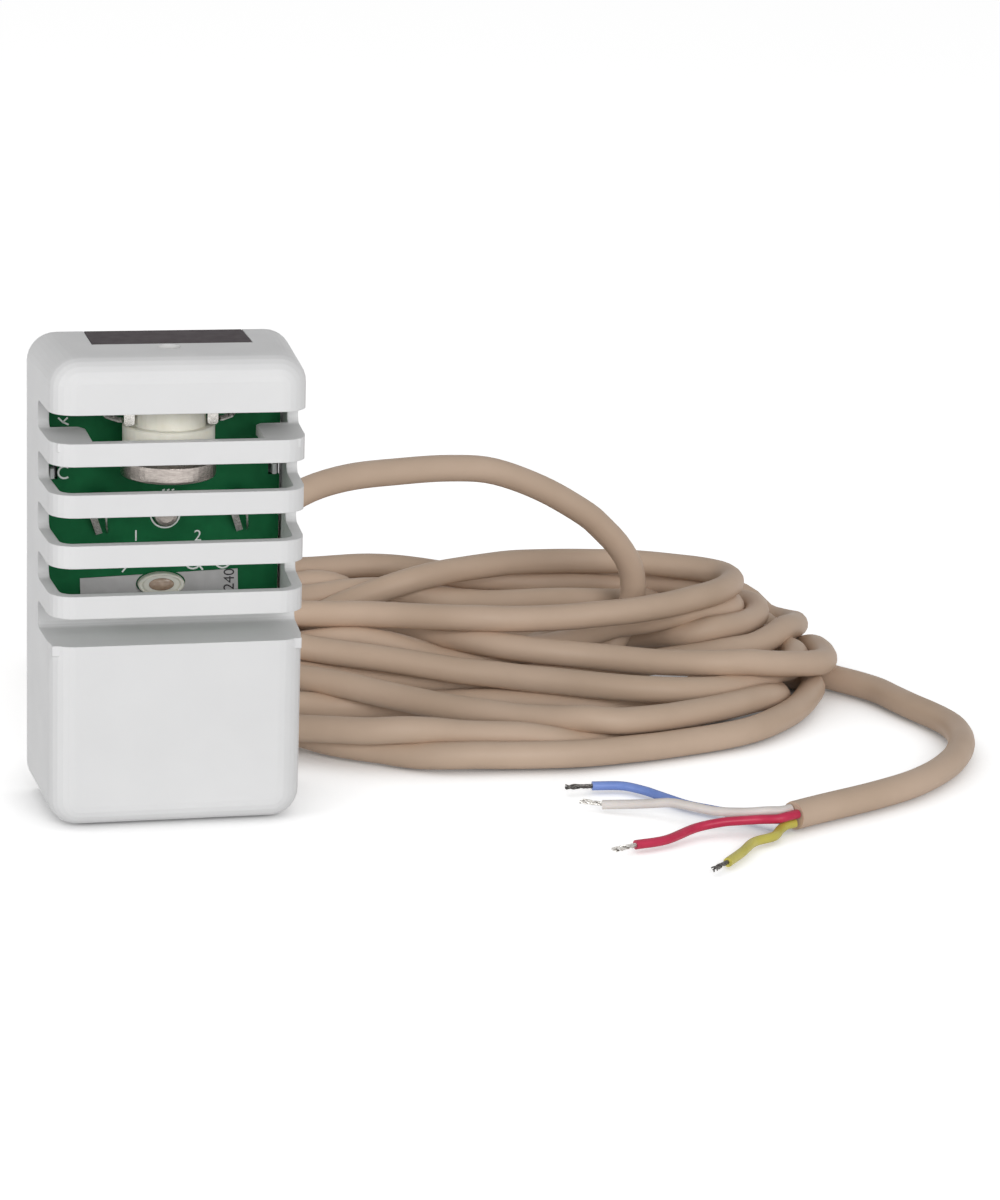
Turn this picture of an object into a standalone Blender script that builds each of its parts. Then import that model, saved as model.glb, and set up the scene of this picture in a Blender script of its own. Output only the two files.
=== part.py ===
"""Sauna temperature sensor: a louvred housing with its board, its reset cutout and its cable.

The sensor stands on its bottom face at z = 0, faces -Y, and its flat back at +Y goes against a wall.
Places in depth are written from the front face, as a draughtsman would give them.
"""

import math

import bmesh
import bpy
from mathutils import Matrix, Vector

MM = 0.001
GAP = 0.3 * MM  # clearance between pieces that touch
OVERRUN = 2.0 * MM  # how far a cutter passes the face that it cuts
BITE = 1.0 * MM  # how far a rib or boss runs into the wall that it grows from

# Housing
WIDTH = 51.0 * MM
DEPTH = 27.0 * MM
HEIGHT = 90.7 * MM
WALL = 2.1 * MM
SIDE_DRAFT = math.radians(3.4)
CORNER_RADIUS = 5.5 * MM
FRONT_RADIUS = 4.5 * MM

# Louvres
SLAT_COUNT = 4
SLAT_HEIGHT = 4.35 * MM
SLOT_HEIGHT = 5.38 * MM
SLOT_DEPTH = 15.0 * MM
SLOT_END_RADIUS = 1.6 * MM
LOWER_BLOCK_HEIGHT = 36.15 * MM
SHELF_THICKNESS = 2.0 * MM
SHELF_LIP_HEIGHT = 3.8 * MM
SHELF_LIP_THICKNESS = 1.5 * MM
GUSSET_WIDTH = 5.6 * MM
GUSSET_DEPTH = 14.0 * MM
GUSSET_THICKNESS = 1.7 * MM
GUSSET_RADIUS = 1.8 * MM

# Back plate and what fastens it
PLATE_THICKNESS = 2.0 * MM
KEYHOLE_HEIGHTS = (11.0 * MM, 74.0 * MM)
KEYHOLE_DIAMETER = 7.6 * MM
KEYHOLE_SLOT_WIDTH = 4.0 * MM
KEYHOLE_SLOT_LENGTH = 7.0 * MM
COVER_SCREW_SPACING = 33.0 * MM
COVER_SCREW_HEIGHT = 12.0 * MM
COVER_SCREW_DIAMETER = 2.9 * MM
COVER_SCREW_LENGTH = 12.0 * MM
COVER_SCREW_HEAD_DIAMETER = 5.2 * MM
COVER_SCREW_HEAD_HEIGHT = 1.2 * MM
COVER_BOSS_DIAMETER = 6.4 * MM
TONGUE_WIDTH = 6.0 * MM
TONGUE_HEIGHT = 1.0 * MM
TONGUE_SPACING = 26.0 * MM

# Circuit board
BOARD_FRONT = 21.3 * MM
BOARD_THICKNESS = 1.6 * MM
BOARD_EDGE_CLEARANCE = 0.55 * MM
BOARD_BOTTOM = 34.0 * MM
BOARD_TOP = 86.5 * MM
BOARD_CORNER_RADIUS = 1.0 * MM
BOARD_SCREW_X = 0.4 * MM
BOARD_SCREW_Z = 56.1 * MM
BOARD_SCREW_DIAMETER = 2.5 * MM
BOARD_SCREW_HEAD_DIAMETER = 4.8 * MM
BOARD_SCREW_HEAD_HEIGHT = 1.7 * MM
BOARD_SCREW_LENGTH = 4.6 * MM
POST_DIAMETER = 5.0 * MM
POST_INSET_X = 4.5 * MM
POST_INSET_Z = 4.5 * MM
CATCH_Z = 64.6 * MM
CATCH_WIDTH = 0.8 * MM
CATCH_HEIGHT = 2.0 * MM
CATCH_REACH = 1.0 * MM

# Labels
TOP_LABEL_WIDTH = 30.2 * MM
TOP_LABEL_X = 0.5 * MM
TOP_LABEL_FRONT = 14.8 * MM
TOP_LABEL_THICKNESS = 0.3 * MM
BOARD_LABEL_WIDTH = 30.6 * MM
BOARD_LABEL_HEIGHT = 5.8 * MM
BOARD_LABEL_X = -0.6 * MM
BOARD_LABEL_Z = 41.3 * MM
BOARD_LABEL_TILT = math.radians(2.0)
BOARD_LABEL_THICKNESS = 0.2 * MM

# Bead sensor in its oval bush, on the board
BUSH_WIDTH = 9.0 * MM
BUSH_HEIGHT = 4.6 * MM
BUSH_WALL = 0.9 * MM
BUSH_DEPTH = 1.6 * MM
BUSH_X = -0.4 * MM
BUSH_Z = 42.3 * MM
BEAD_RISE = 1.3 * MM

# Two upright resistors with one flat and one wire leg
RESISTOR_X = (-12.6 * MM, 14.6 * MM)
RESISTOR_Z = 59.0 * MM
RESISTOR_WIDTH = 4.6 * MM
RESISTOR_HEIGHT = 4.0 * MM
RESISTOR_THICKNESS = 2.2 * MM
RESISTOR_STANDOFF = 1.6 * MM
LEG_FOOT_Z = 52.6 * MM
FLAT_LEG_WIDTH = 1.3 * MM
FLAT_LEG_THICKNESS = 0.4 * MM
WIRE_LEG_DIAMETER = 0.5 * MM

# Overheat cutout with its reset button
CUTOUT_X = -0.5 * MM
CAP_DIAMETER = 18.0 * MM
CAP_HEIGHT = 3.6 * MM
CAP_BOTTOM = 66.1 * MM
CAP_EDGE_RADIUS = 0.5 * MM
BODY_DIAMETER = 17.4 * MM
BODY_SHOULDER_HEIGHT = 6.0 * MM
BODY_NECK_DIAMETER = 14.0 * MM
BODY_HEIGHT = 14.0 * MM
BODY_RIM_GROOVE = 0.4 * MM
BUTTON_DIAMETER = 3.5 * MM
BUTTON_TRAVEL = 1.0 * MM
BUTTON_BELOW_TOP = 1.1 * MM
BUTTON_GUIDE_DEPTH = 3.0 * MM
RESET_HOLE_DIAMETER = 4.3 * MM
TERMINAL_WIDTH = 2.0 * MM
TERMINAL_THICKNESS = 0.8 * MM
TERMINAL_HEIGHT = 5.0 * MM
TERMINAL_FROM_AXIS = 7.9 * MM
TERMINAL_FORWARD = 2.6 * MM
LEAD_DIAMETER = 1.1 * MM
LEAD_PAD_X = 15.5 * MM
LEAD_PAD_Z = 82.8 * MM

# Cable
CABLE_DIAMETER = 5.6 * MM
CABLE_X = 8.0 * MM
CABLE_Z = 27.0 * MM
GROMMET_FLANGE_DIAMETER = 12.6 * MM
GROMMET_FLANGE_THICKNESS = 1.3 * MM
GROMMET_NECK_DIAMETER = 9.4 * MM
GROMMET_SEAT_THICKNESS = 1.6 * MM
GROMMET_BOSS_WALL = 2.0 * MM
TIE_THICKNESS = 1.1 * MM
TIE_WIDTH = 2.5 * MM
TIE_FRONT = 19.0 * MM
CORE_DIAMETER = 1.85 * MM
CORE_OFFSET = 1.03 * MM
PAD_SPACING = 3.4 * MM
STRAND_DIAMETER = 0.9 * MM

# Outline of the coil, as one solid
COIL_WIDTH = 154.0 * MM
COIL_DEPTH = 110.0 * MM
COIL_HEIGHT = 22.0 * MM
COIL_OPENING_WIDTH = 58.0 * MM
COIL_TOP_SHRINK = 0.68
COIL_LEAN = 17.0 * MM
COIL_CENTRE = (79.5 * MM, 63.0 * MM)

CORNER_SEGMENTS = 8
FRONT_SEGMENTS = 6
ROUND_STEPS = 32
SMALL_STEPS = 20

FRONT = -DEPTH / 2
REAR = DEPTH / 2
PLATE_FRONT = REAR - PLATE_THICKNESS
PITCH = SLAT_HEIGHT + SLOT_HEIGHT
CUTOUT_AXIS = BOARD_FRONT - GAP - CAP_DIAMETER / 2
BODY_BOTTOM = CAP_BOTTOM + CAP_HEIGHT + GAP
BODY_TOP = BODY_BOTTOM + BODY_HEIGHT
BUTTON_TOP = HEIGHT - BUTTON_BELOW_TOP

PARTS = "sauna_temperature_sensor"
CUTTERS = "cutters"


def from_front(distance):
    """The y of a place that is given by its distance behind the front face."""
    return FRONT + distance


def side_at(y):
    """Half the housing's width at a depth; the sides draw in towards the front."""
    return WIDTH / 2 - (REAR - y) * math.tan(SIDE_DRAFT)


def slat_bottom(index):
    """The height of a slat's underside, counted from the lowest slat as 0."""
    return LOWER_BLOCK_HEIGHT + SLOT_HEIGHT + index * PITCH


# Scene


def clear_scene():
    for item in list(bpy.data.objects):
        bpy.data.objects.remove(item, do_unlink=True)


def collection(name):
    found = bpy.data.collections.get(name)
    if found is None:
        found = bpy.data.collections.new(name)
        bpy.context.scene.collection.children.link(found)
    return found


def finish(name, colour, roughness, metallic=0.0):
    """A plain material of one colour."""
    made = bpy.data.materials.new(name)
    made.use_nodes = True
    shader = made.node_tree.nodes["Principled BSDF"]
    shader.inputs["Base Color"].default_value = (*colour, 1.0)
    shader.inputs["Roughness"].default_value = roughness
    shader.inputs["Metallic"].default_value = metallic
    made.diffuse_color = (*colour, 1.0)
    return made


def part(name, data, material):
    """An object of the sensor, from a bmesh, a mesh or a curve."""
    data = as_data(name, data)
    data.materials.append(material)
    made = bpy.data.objects.new(name, data)
    collection(PARTS).objects.link(made)
    return made


def cutter(name, data):
    """An object that only shapes another one."""
    made = bpy.data.objects.new(name, as_data(name, data))
    made.hide_render = True
    made.display_type = "WIRE"
    collection(CUTTERS).objects.link(made)
    return made


def as_data(name, data):
    if not isinstance(data, bmesh.types.BMesh):
        return data
    mesh = bpy.data.meshes.new(name)
    bmesh.ops.recalc_face_normals(data, faces=data.faces)
    data.to_mesh(mesh)
    data.free()
    mesh.shade_smooth()
    mesh.set_sharp_from_angle(angle=math.radians(35))
    return mesh


def boolean(target, tool, operation):
    step = target.modifiers.new(tool.name, "BOOLEAN")
    step.object = tool
    step.operation = operation
    step.solver = "EXACT"


def cut(target, name, data):
    boolean(target, cutter(name, data), "DIFFERENCE")


def grow(target, name, data):
    boolean(target, cutter(name, data), "UNION")


# Shapes


def add_box(bm, low, high):
    """Adds a box between two corners, and returns its new edges."""
    size = Vector(high) - Vector(low)
    place = Matrix.Translation((Vector(low) + Vector(high)) / 2) @ Matrix.Diagonal((*size, 1.0))
    made = bmesh.ops.create_cube(bm, size=1.0, matrix=place)
    return {edge for vert in made["verts"] for edge in vert.link_edges}


def box(low, high):
    bm = bmesh.new()
    add_box(bm, low, high)
    return bm


def add_rod(bm, start, axis, diameter, length, steps=SMALL_STEPS):
    """Adds a cylinder that runs from a point along x, y or z."""
    turn = {
        "x": Matrix.Rotation(math.radians(90), 4, "Y"),
        "y": Matrix.Rotation(math.radians(-90), 4, "X"),
        "z": Matrix.Identity(4),
    }[axis]
    place = Matrix.Translation(start) @ turn @ Matrix.Translation((0, 0, length / 2))
    bmesh.ops.create_cone(
        bm,
        cap_ends=True,
        segments=steps,
        radius1=diameter / 2,
        radius2=diameter / 2,
        depth=length,
        matrix=place,
    )


def rod(start, axis, diameter, length, steps=SMALL_STEPS):
    bm = bmesh.new()
    add_rod(bm, start, axis, diameter, length, steps)
    return bm


def along(edge, axis):
    """Whether an edge runs along x (0), y (1) or z (2), or nearly so."""
    way = (edge.verts[1].co - edge.verts[0].co).normalized()
    return abs(way[axis]) > 0.99


def round_edges(bm, edges, radius, segments):
    bmesh.ops.bevel(
        bm,
        geom=list(edges),
        offset=radius,
        offset_type="OFFSET",
        segments=segments,
        profile=0.5,
        affect="EDGES",
        clamp_overlap=False,
    )


def rounded_box(low, high, axis, radius, segments=4):
    """A box whose four edges along one axis are round."""
    bm = bmesh.new()
    edges = add_box(bm, low, high)
    round_edges(bm, [edge for edge in edges if along(edge, axis)], radius, segments)
    return bm


def turned(name, profile, material, steps=ROUND_STEPS, closed=False):
    """A shape turned about its own z axis from a profile that runs top to bottom at +x."""
    mesh = bpy.data.meshes.new(name)
    edges = [(i, i + 1) for i in range(len(profile) - 1)]
    if closed:
        edges.append((len(profile) - 1, 0))
    mesh.from_pydata([(x, 0.0, z) for x, z in profile], edges, [])
    made = part(name, mesh, material)
    lathe = made.modifiers.new("turn", "SCREW")
    lathe.axis = "Z"
    lathe.angle = math.tau
    lathe.steps = steps
    lathe.render_steps = steps
    lathe.use_merge_vertices = True
    lathe.merge_threshold = 0.00001
    lathe.use_smooth_shade = True
    return made


def arc_points(centre, radius, start, end, count=4):
    """Points of a round stretch of a profile, between two angles in degrees."""
    angles = [math.radians(start + (end - start) * i / count) for i in range(count + 1)]
    return [(centre[0] + radius * math.cos(a), centre[1] + radius * math.sin(a)) for a in angles]


def smooth_points(points, spacing):
    """Evenly spaced points on the smooth curve through a route's own points."""
    knots = [Vector(point) for point in points]
    ends = [2 * knots[0] - knots[1], *knots, 2 * knots[-1] - knots[-2]]
    fine = []
    for before, here, there, after in zip(ends, ends[1:], ends[2:], ends[3:]):
        for i in range(16):
            t = i / 16
            fine.append(
                0.5
                * (
                    2 * here
                    + (there - before) * t
                    + (2 * before - 5 * here + 4 * there - after) * t**2
                    + (3 * here - before - 3 * there + after) * t**3
                )
            )
    fine.append(knots[-1])
    travelled = [0.0]
    for here, there in zip(fine, fine[1:]):
        travelled.append(travelled[-1] + (there - here).length)
    count = max(2, round(travelled[-1] / spacing))
    even = [fine[0]]
    at = 0
    for i in range(1, count):
        target = travelled[-1] * i / count
        while travelled[at + 1] < target:
            at += 1
        share = (target - travelled[at]) / (travelled[at + 1] - travelled[at])
        even.append(fine[at].lerp(fine[at + 1], share))
    return [*even, fine[-1]]


def tube(name, points, diameter, material, spacing=None, resolution=2):
    """A round wire or cable along a route; a short straight stretch keeps each end face square."""
    curve = bpy.data.curves.new(name, "CURVE")
    curve.dimensions = "3D"
    curve.bevel_depth = diameter / 2
    curve.bevel_resolution = resolution
    curve.use_fill_caps = True
    ends = [Vector(point) for point in (*points[:2], *points[-2:])]
    stub = 0.6 * diameter
    start = ends[0] + (ends[1] - ends[0]).normalized() * stub
    stop = ends[3] + (ends[2] - ends[3]).normalized() * stub
    middle = smooth_points(points, spacing or 2.6 * diameter)[1:-1]
    route = [ends[0], start, *middle, stop, ends[3]]
    spline = curve.splines.new("POLY")
    spline.points.add(len(route) - 1)
    for point, place in zip(spline.points, route):
        point.co = (*place, 1.0)
    return part(name, curve, material)


# Housing


def housing_block(inset, rear):
    """The housing's outside or, with an inset, its inside: a tapered box with round edges."""
    front = FRONT + inset
    bm = bmesh.new()
    bmesh.ops.create_cube(bm, size=2.0)
    for vert in bm.verts:
        y = front if vert.co.y < 0 else rear
        z = HEIGHT - inset if vert.co.z > 0 else inset
        vert.co = Vector((math.copysign(side_at(y) - inset, vert.co.x), y, z))
    corners = [edge for edge in bm.edges if along(edge, 1)]
    round_edges(bm, corners, CORNER_RADIUS - inset, CORNER_SEGMENTS)
    rim = [edge for edge in bm.edges if all(vert.co.y < front + GAP for vert in edge.verts)]
    round_edges(bm, rim, FRONT_RADIUS - inset, FRONT_SEGMENTS)
    return bm


def slots():
    """The five openings, each cut from the front through both sides to the slot depth."""
    bm = bmesh.new()
    reach = WIDTH / 2 + OVERRUN
    for index in range(SLAT_COUNT + 1):
        bottom = LOWER_BLOCK_HEIGHT + index * PITCH
        low = (-reach, FRONT - OVERRUN, bottom)
        high = (reach, from_front(SLOT_DEPTH), bottom + SLOT_HEIGHT)
        edges = add_box(bm, low, high)
        far = [edge for edge in edges if along(edge, 0) and edge.verts[0].co.y > 0]
        round_edges(bm, far, SLOT_END_RADIUS, 4)
    return bm


def shelf():
    """The floor over the cable space, with the lip in front of the board; the slot trims its top."""
    reach = side_at(from_front(SLOT_DEPTH)) - WALL + BITE
    low = (-reach, FRONT + WALL - BITE, LOWER_BLOCK_HEIGHT - SHELF_THICKNESS)
    back = from_front(SLOT_DEPTH + SHELF_LIP_THICKNESS)
    return box(low, (reach, back, LOWER_BLOCK_HEIGHT + SHELF_LIP_HEIGHT))


def gussets():
    """Level webs in the two front corners of the top slat; the slot above trims them flush."""
    bm = bmesh.new()
    top = slat_bottom(SLAT_COUNT - 1) + SLAT_HEIGHT
    outer = side_at(FRONT) - WALL + BITE
    back = from_front(GUSSET_DEPTH)
    for side in (-1, 1):
        inner = outer - BITE - GUSSET_WIDTH
        low = (min(side * inner, side * outer), FRONT + WALL - BITE, top - GUSSET_THICKNESS)
        high = (max(side * inner, side * outer), back, top + SLOT_HEIGHT / 4)
        edges = add_box(bm, low, high)
        free = [
            edge
            for edge in edges
            if along(edge, 2) and edge.verts[0].co.y > -DEPTH / 4 and abs(edge.verts[0].co.x) < outer - GAP
        ]
        round_edges(bm, free, GUSSET_RADIUS, 4)
    return bm


def cover_screw_places():
    return [(side * COVER_SCREW_SPACING / 2, COVER_SCREW_HEIGHT) for side in (-1, 1)]


def tongue_places():
    return [side * TONGUE_SPACING / 2 for side in (-1, 1)]


def louvred_cover(material):
    cover = part("louvred_cover", housing_block(0.0, REAR), material)
    cut(cover, "cover_inside", housing_block(WALL, REAR + OVERRUN))
    grow(cover, "cover_shelf", shelf())
    grow(cover, "cover_gussets", gussets())

    bosses = bmesh.new()
    pilots = bmesh.new()
    boss_front = FRONT + WALL - BITE
    boss_back = PLATE_FRONT - GAP
    hole_depth = COVER_SCREW_LENGTH
    for x, z in cover_screw_places():
        add_rod(bosses, (x, boss_front, z), "y", COVER_BOSS_DIAMETER, boss_back - boss_front)
        bore = COVER_SCREW_DIAMETER + 2 * GAP
        add_rod(pilots, (x, boss_back - hole_depth, z), "y", bore, hole_depth + OVERRUN)
    grow(cover, "cover_bosses", bosses)
    cut(cover, "cover_pilot_holes", pilots)

    cut(cover, "louvre_slots", slots())

    pockets = bmesh.new()
    for x in tongue_places():
        reach = TONGUE_WIDTH / 2 + GAP
        add_box(
            pockets,
            (x - reach, PLATE_FRONT - GAP, HEIGHT - WALL - OVERRUN),
            (x + reach, REAR + OVERRUN, HEIGHT - WALL + TONGUE_HEIGHT),
        )
    cut(cover, "tongue_pockets", pockets)

    hole = rod(
        (CUTOUT_X, from_front(CUTOUT_AXIS), HEIGHT - WALL - OVERRUN),
        "z",
        RESET_HOLE_DIAMETER,
        WALL + 2 * OVERRUN,
        ROUND_STEPS,
    )
    cut(cover, "reset_hole", hole)

    half = TOP_LABEL_WIDTH / 2 + GAP / 2
    recess = box(
        (TOP_LABEL_X - half, from_front(TOP_LABEL_FRONT) - GAP / 2, HEIGHT - TOP_LABEL_THICKNESS - GAP / 2),
        (TOP_LABEL_X + half, REAR + OVERRUN, HEIGHT + OVERRUN),
    )
    cut(cover, "label_recess", recess)
    return cover


def top_label(material):
    half = TOP_LABEL_WIDTH / 2
    low = (TOP_LABEL_X - half, from_front(TOP_LABEL_FRONT), HEIGHT - TOP_LABEL_THICKNESS)
    return part("top_label", box(low, (TOP_LABEL_X + half, REAR, HEIGHT)), material)


# Back plate


def post_places():
    """Where the plate carries the board's corners."""
    half = board_half_width() - POST_INSET_X
    return [(x, z) for x in (-half, half) for z in (BOARD_BOTTOM + POST_INSET_Z, BOARD_TOP - POST_INSET_Z)]


def back_plate(material):
    fit = WALL + GAP
    half = side_at(PLATE_FRONT) - fit
    radius = CORNER_RADIUS - fit
    plate = part(
        "back_plate",
        rounded_box((-half, PLATE_FRONT, fit), (half, REAR, HEIGHT - fit), 1, radius, 6),
        material,
    )

    posts = bmesh.new()
    post_front = from_front(BOARD_FRONT + BOARD_THICKNESS) + GAP
    for x, z in [*post_places(), (BOARD_SCREW_X, BOARD_SCREW_Z)]:
        add_rod(posts, (x, post_front, z), "y", POST_DIAMETER, PLATE_FRONT + BITE - post_front)
    grow(plate, "board_posts", posts)

    tongues = bmesh.new()
    for x in tongue_places():
        reach = TONGUE_WIDTH / 2
        top = HEIGHT - WALL + TONGUE_HEIGHT - GAP
        add_box(tongues, (x - reach, PLATE_FRONT, HEIGHT - fit - BITE), (x + reach, REAR, top))
    grow(plate, "plate_tongues", tongues)

    catches = bmesh.new()
    for side in (-1, 1):
        middle = side * (board_half_width() - CATCH_WIDTH / 2 - GAP - CATCH_WIDTH / 2)
        add_box(
            catches,
            (middle - CATCH_WIDTH / 2, from_front(BOARD_FRONT) - CATCH_REACH, CATCH_Z - CATCH_HEIGHT / 2),
            (middle + CATCH_WIDTH / 2, PLATE_FRONT + BITE, CATCH_Z + CATCH_HEIGHT / 2),
        )
    grow(plate, "board_catches", catches)

    seat_back = REAR - GROMMET_FLANGE_THICKNESS - GAP
    seat_front = seat_back - GROMMET_SEAT_THICKNESS
    hub = GROMMET_FLANGE_DIAMETER + 2 * GAP + 2 * GROMMET_BOSS_WALL
    hub_start = (CABLE_X, seat_front, CABLE_Z)
    grow(plate, "grommet_hub", rod(hub_start, "y", hub, PLATE_FRONT + BITE - seat_front, ROUND_STEPS))
    flange_hole = GROMMET_FLANGE_DIAMETER + 2 * GAP
    sink = rod((CABLE_X, seat_back, CABLE_Z), "y", flange_hole, REAR + OVERRUN - seat_back, ROUND_STEPS)
    cut(plate, "grommet_sink", sink)
    neck_hole = GROMMET_NECK_DIAMETER + 2 * GAP
    neck_start = (CABLE_X, seat_front - OVERRUN, CABLE_Z)
    cut(plate, "grommet_hole", rod(neck_start, "y", neck_hole, REAR - seat_front + 2 * OVERRUN, ROUND_STEPS))

    holes = bmesh.new()
    bore = BOARD_SCREW_DIAMETER + 2 * GAP
    board_screw_end = from_front(BOARD_FRONT) - GAP + BOARD_SCREW_LENGTH + GAP
    hole_length = board_screw_end - post_front + OVERRUN
    add_rod(holes, (BOARD_SCREW_X, post_front - OVERRUN, BOARD_SCREW_Z), "y", bore, hole_length)
    for x, z in cover_screw_places():
        start = (x, PLATE_FRONT - OVERRUN, z)
        add_rod(holes, start, "y", COVER_SCREW_DIAMETER + 2 * GAP, PLATE_THICKNESS + 2 * OVERRUN)
    cut(plate, "screw_holes", holes)

    sinks = bmesh.new()
    for x, z in cover_screw_places():
        depth = COVER_SCREW_HEAD_HEIGHT + GAP
        add_rod(sinks, (x, REAR - depth, z), "y", COVER_SCREW_HEAD_DIAMETER + 2 * GAP, depth + OVERRUN)
    cut(plate, "screw_head_sinks", sinks)

    for index, z in enumerate(KEYHOLE_HEIGHTS):
        front = PLATE_FRONT - OVERRUN
        depth = PLATE_THICKNESS + 2 * OVERRUN
        cut(plate, f"keyhole_{index + 1}_mouth", rod((0.0, front, z), "y", KEYHOLE_DIAMETER, depth))
        half = KEYHOLE_SLOT_WIDTH / 2
        slot_top = z + KEYHOLE_SLOT_LENGTH
        slot = rounded_box((-half, front, z), (half, front + depth, slot_top), 1, half * 0.95, 5)
        cut(plate, f"keyhole_{index + 1}_slot", slot)
    return plate


def screw(name, head_seat, diameter, length, head_diameter, head_height, material):
    """A plain-shanked screw, turned; its head's underside is at its origin and its shank runs to -z."""
    crown = head_height * 0.45
    profile = [
        (0.0, head_height),
        (head_diameter * 0.3, head_height),
        (head_diameter * 0.45, head_height - crown / 2),
        (head_diameter / 2, head_height - crown),
        (head_diameter / 2, 0.0),
        (diameter / 2, 0.0),
        (diameter / 2, -length + diameter / 2),
        (0.0, -length),
    ]
    made = turned(name, profile, material, SMALL_STEPS)
    made.location = head_seat
    return made


def cover_screws(material):
    for (x, z), side in zip(cover_screw_places(), ("left", "right")):
        seat = (x, REAR - COVER_SCREW_HEAD_HEIGHT, z)
        made = screw(
            f"cover_screw_{side}",
            seat,
            COVER_SCREW_DIAMETER,
            COVER_SCREW_LENGTH - GAP,
            COVER_SCREW_HEAD_DIAMETER,
            COVER_SCREW_HEAD_HEIGHT,
            material,
        )
        made.rotation_euler = (math.radians(-90), 0.0, 0.0)


# Board and what it carries


def board_half_width():
    return side_at(from_front(BOARD_FRONT)) - WALL - BOARD_EDGE_CLEARANCE


def circuit_board(material):
    half = board_half_width()
    low = (-half, from_front(BOARD_FRONT), BOARD_BOTTOM)
    high = (half, from_front(BOARD_FRONT + BOARD_THICKNESS), BOARD_TOP)
    board = part("circuit_board", rounded_box(low, high, 1, BOARD_CORNER_RADIUS, 3), material)

    openings = bmesh.new()
    start = (BOARD_SCREW_X, from_front(BOARD_FRONT) - OVERRUN, BOARD_SCREW_Z)
    add_rod(openings, start, "y", BOARD_SCREW_DIAMETER + 2 * GAP, BOARD_THICKNESS + 2 * OVERRUN)
    for side in (-1, 1):
        inner = side * (half - 2 * CATCH_WIDTH - 2 * GAP)
        outer = side * (half + OVERRUN)
        add_box(
            openings,
            (min(inner, outer), from_front(BOARD_FRONT) - OVERRUN, CATCH_Z - CATCH_HEIGHT / 2 - GAP),
            (
                max(inner, outer),
                from_front(BOARD_FRONT + BOARD_THICKNESS) + OVERRUN,
                CATCH_Z + CATCH_HEIGHT / 2 + GAP,
            ),
        )
    cut(board, "board_openings", openings)
    return board


def board_screw(material):
    seat = (BOARD_SCREW_X, from_front(BOARD_FRONT) - GAP, BOARD_SCREW_Z)
    made = screw(
        "board_screw",
        seat,
        BOARD_SCREW_DIAMETER,
        BOARD_SCREW_LENGTH,
        BOARD_SCREW_HEAD_DIAMETER,
        BOARD_SCREW_HEAD_HEIGHT,
        material,
    )
    made.rotation_euler = (math.radians(90), 0.0, 0.0)


def board_label(material):
    """The label on the board, with an oval hole round the bush."""
    back = from_front(BOARD_FRONT) - GAP / 2
    low = (-BOARD_LABEL_WIDTH / 2, back - BOARD_LABEL_THICKNESS, -BOARD_LABEL_HEIGHT / 2)
    bm = box(low, (BOARD_LABEL_WIDTH / 2, back, BOARD_LABEL_HEIGHT / 2))
    turn = Matrix.Rotation(-BOARD_LABEL_TILT, 4, "Y")
    place = Matrix.Translation((BOARD_LABEL_X, 0.0, BOARD_LABEL_Z)) @ turn
    bmesh.ops.transform(bm, matrix=place, verts=bm.verts)
    label = part("board_label", bm, material)
    hole = rod((0.0, back - OVERRUN, 0.0), "y", 1.0, 2 * OVERRUN, ROUND_STEPS)
    stretch = Matrix.Diagonal((BUSH_WIDTH + 2 * GAP, 1.0, BUSH_HEIGHT + 2 * GAP, 1.0))
    bmesh.ops.transform(hole, matrix=Matrix.Translation((BUSH_X, 0.0, BUSH_Z)) @ stretch, verts=hole.verts)
    cut(label, "board_label_hole", hole)
    return label


def stand_on_board(made, x, z, width, height):
    """Turns a lathe piece to face the front, stretches it to an oval and sets it on the board."""
    made.rotation_euler = (math.radians(90), 0.0, 0.0)
    made.scale = (1.0, height / width, 1.0)
    made.location = (x, from_front(BOARD_FRONT) - GAP, z)


def sensor_bush(material):
    outer = BUSH_WIDTH / 2
    inner = outer - BUSH_WALL
    edge = 0.25 * MM
    profile = [
        (inner + edge, BUSH_DEPTH),
        (outer - edge, BUSH_DEPTH),
        (outer, BUSH_DEPTH - edge),
        (outer, 0.0),
        (inner, 0.0),
        (inner, BUSH_DEPTH - edge),
    ]
    made = turned("sensor_bush", profile, material, ROUND_STEPS, closed=True)
    stand_on_board(made, BUSH_X, BUSH_Z, BUSH_WIDTH, BUSH_HEIGHT)


def sensor_bead(material):
    """The glassy bead that fills the bush."""
    radius = BUSH_WIDTH / 2 - BUSH_WALL - GAP * BUSH_WIDTH / BUSH_HEIGHT
    rim = 0.5 * MM
    angles = [math.radians(90 - 15 * i) for i in range(7)]
    profile = [(radius * math.cos(a), rim + (BEAD_RISE - rim) * math.sin(a)) for a in angles]
    made = turned("sensor_bead", [(0.0, BEAD_RISE), *profile[1:], (radius, 0.0), (0.0, 0.0)], material)
    stand_on_board(made, BUSH_X, BUSH_Z, BUSH_WIDTH, BUSH_HEIGHT)


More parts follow.
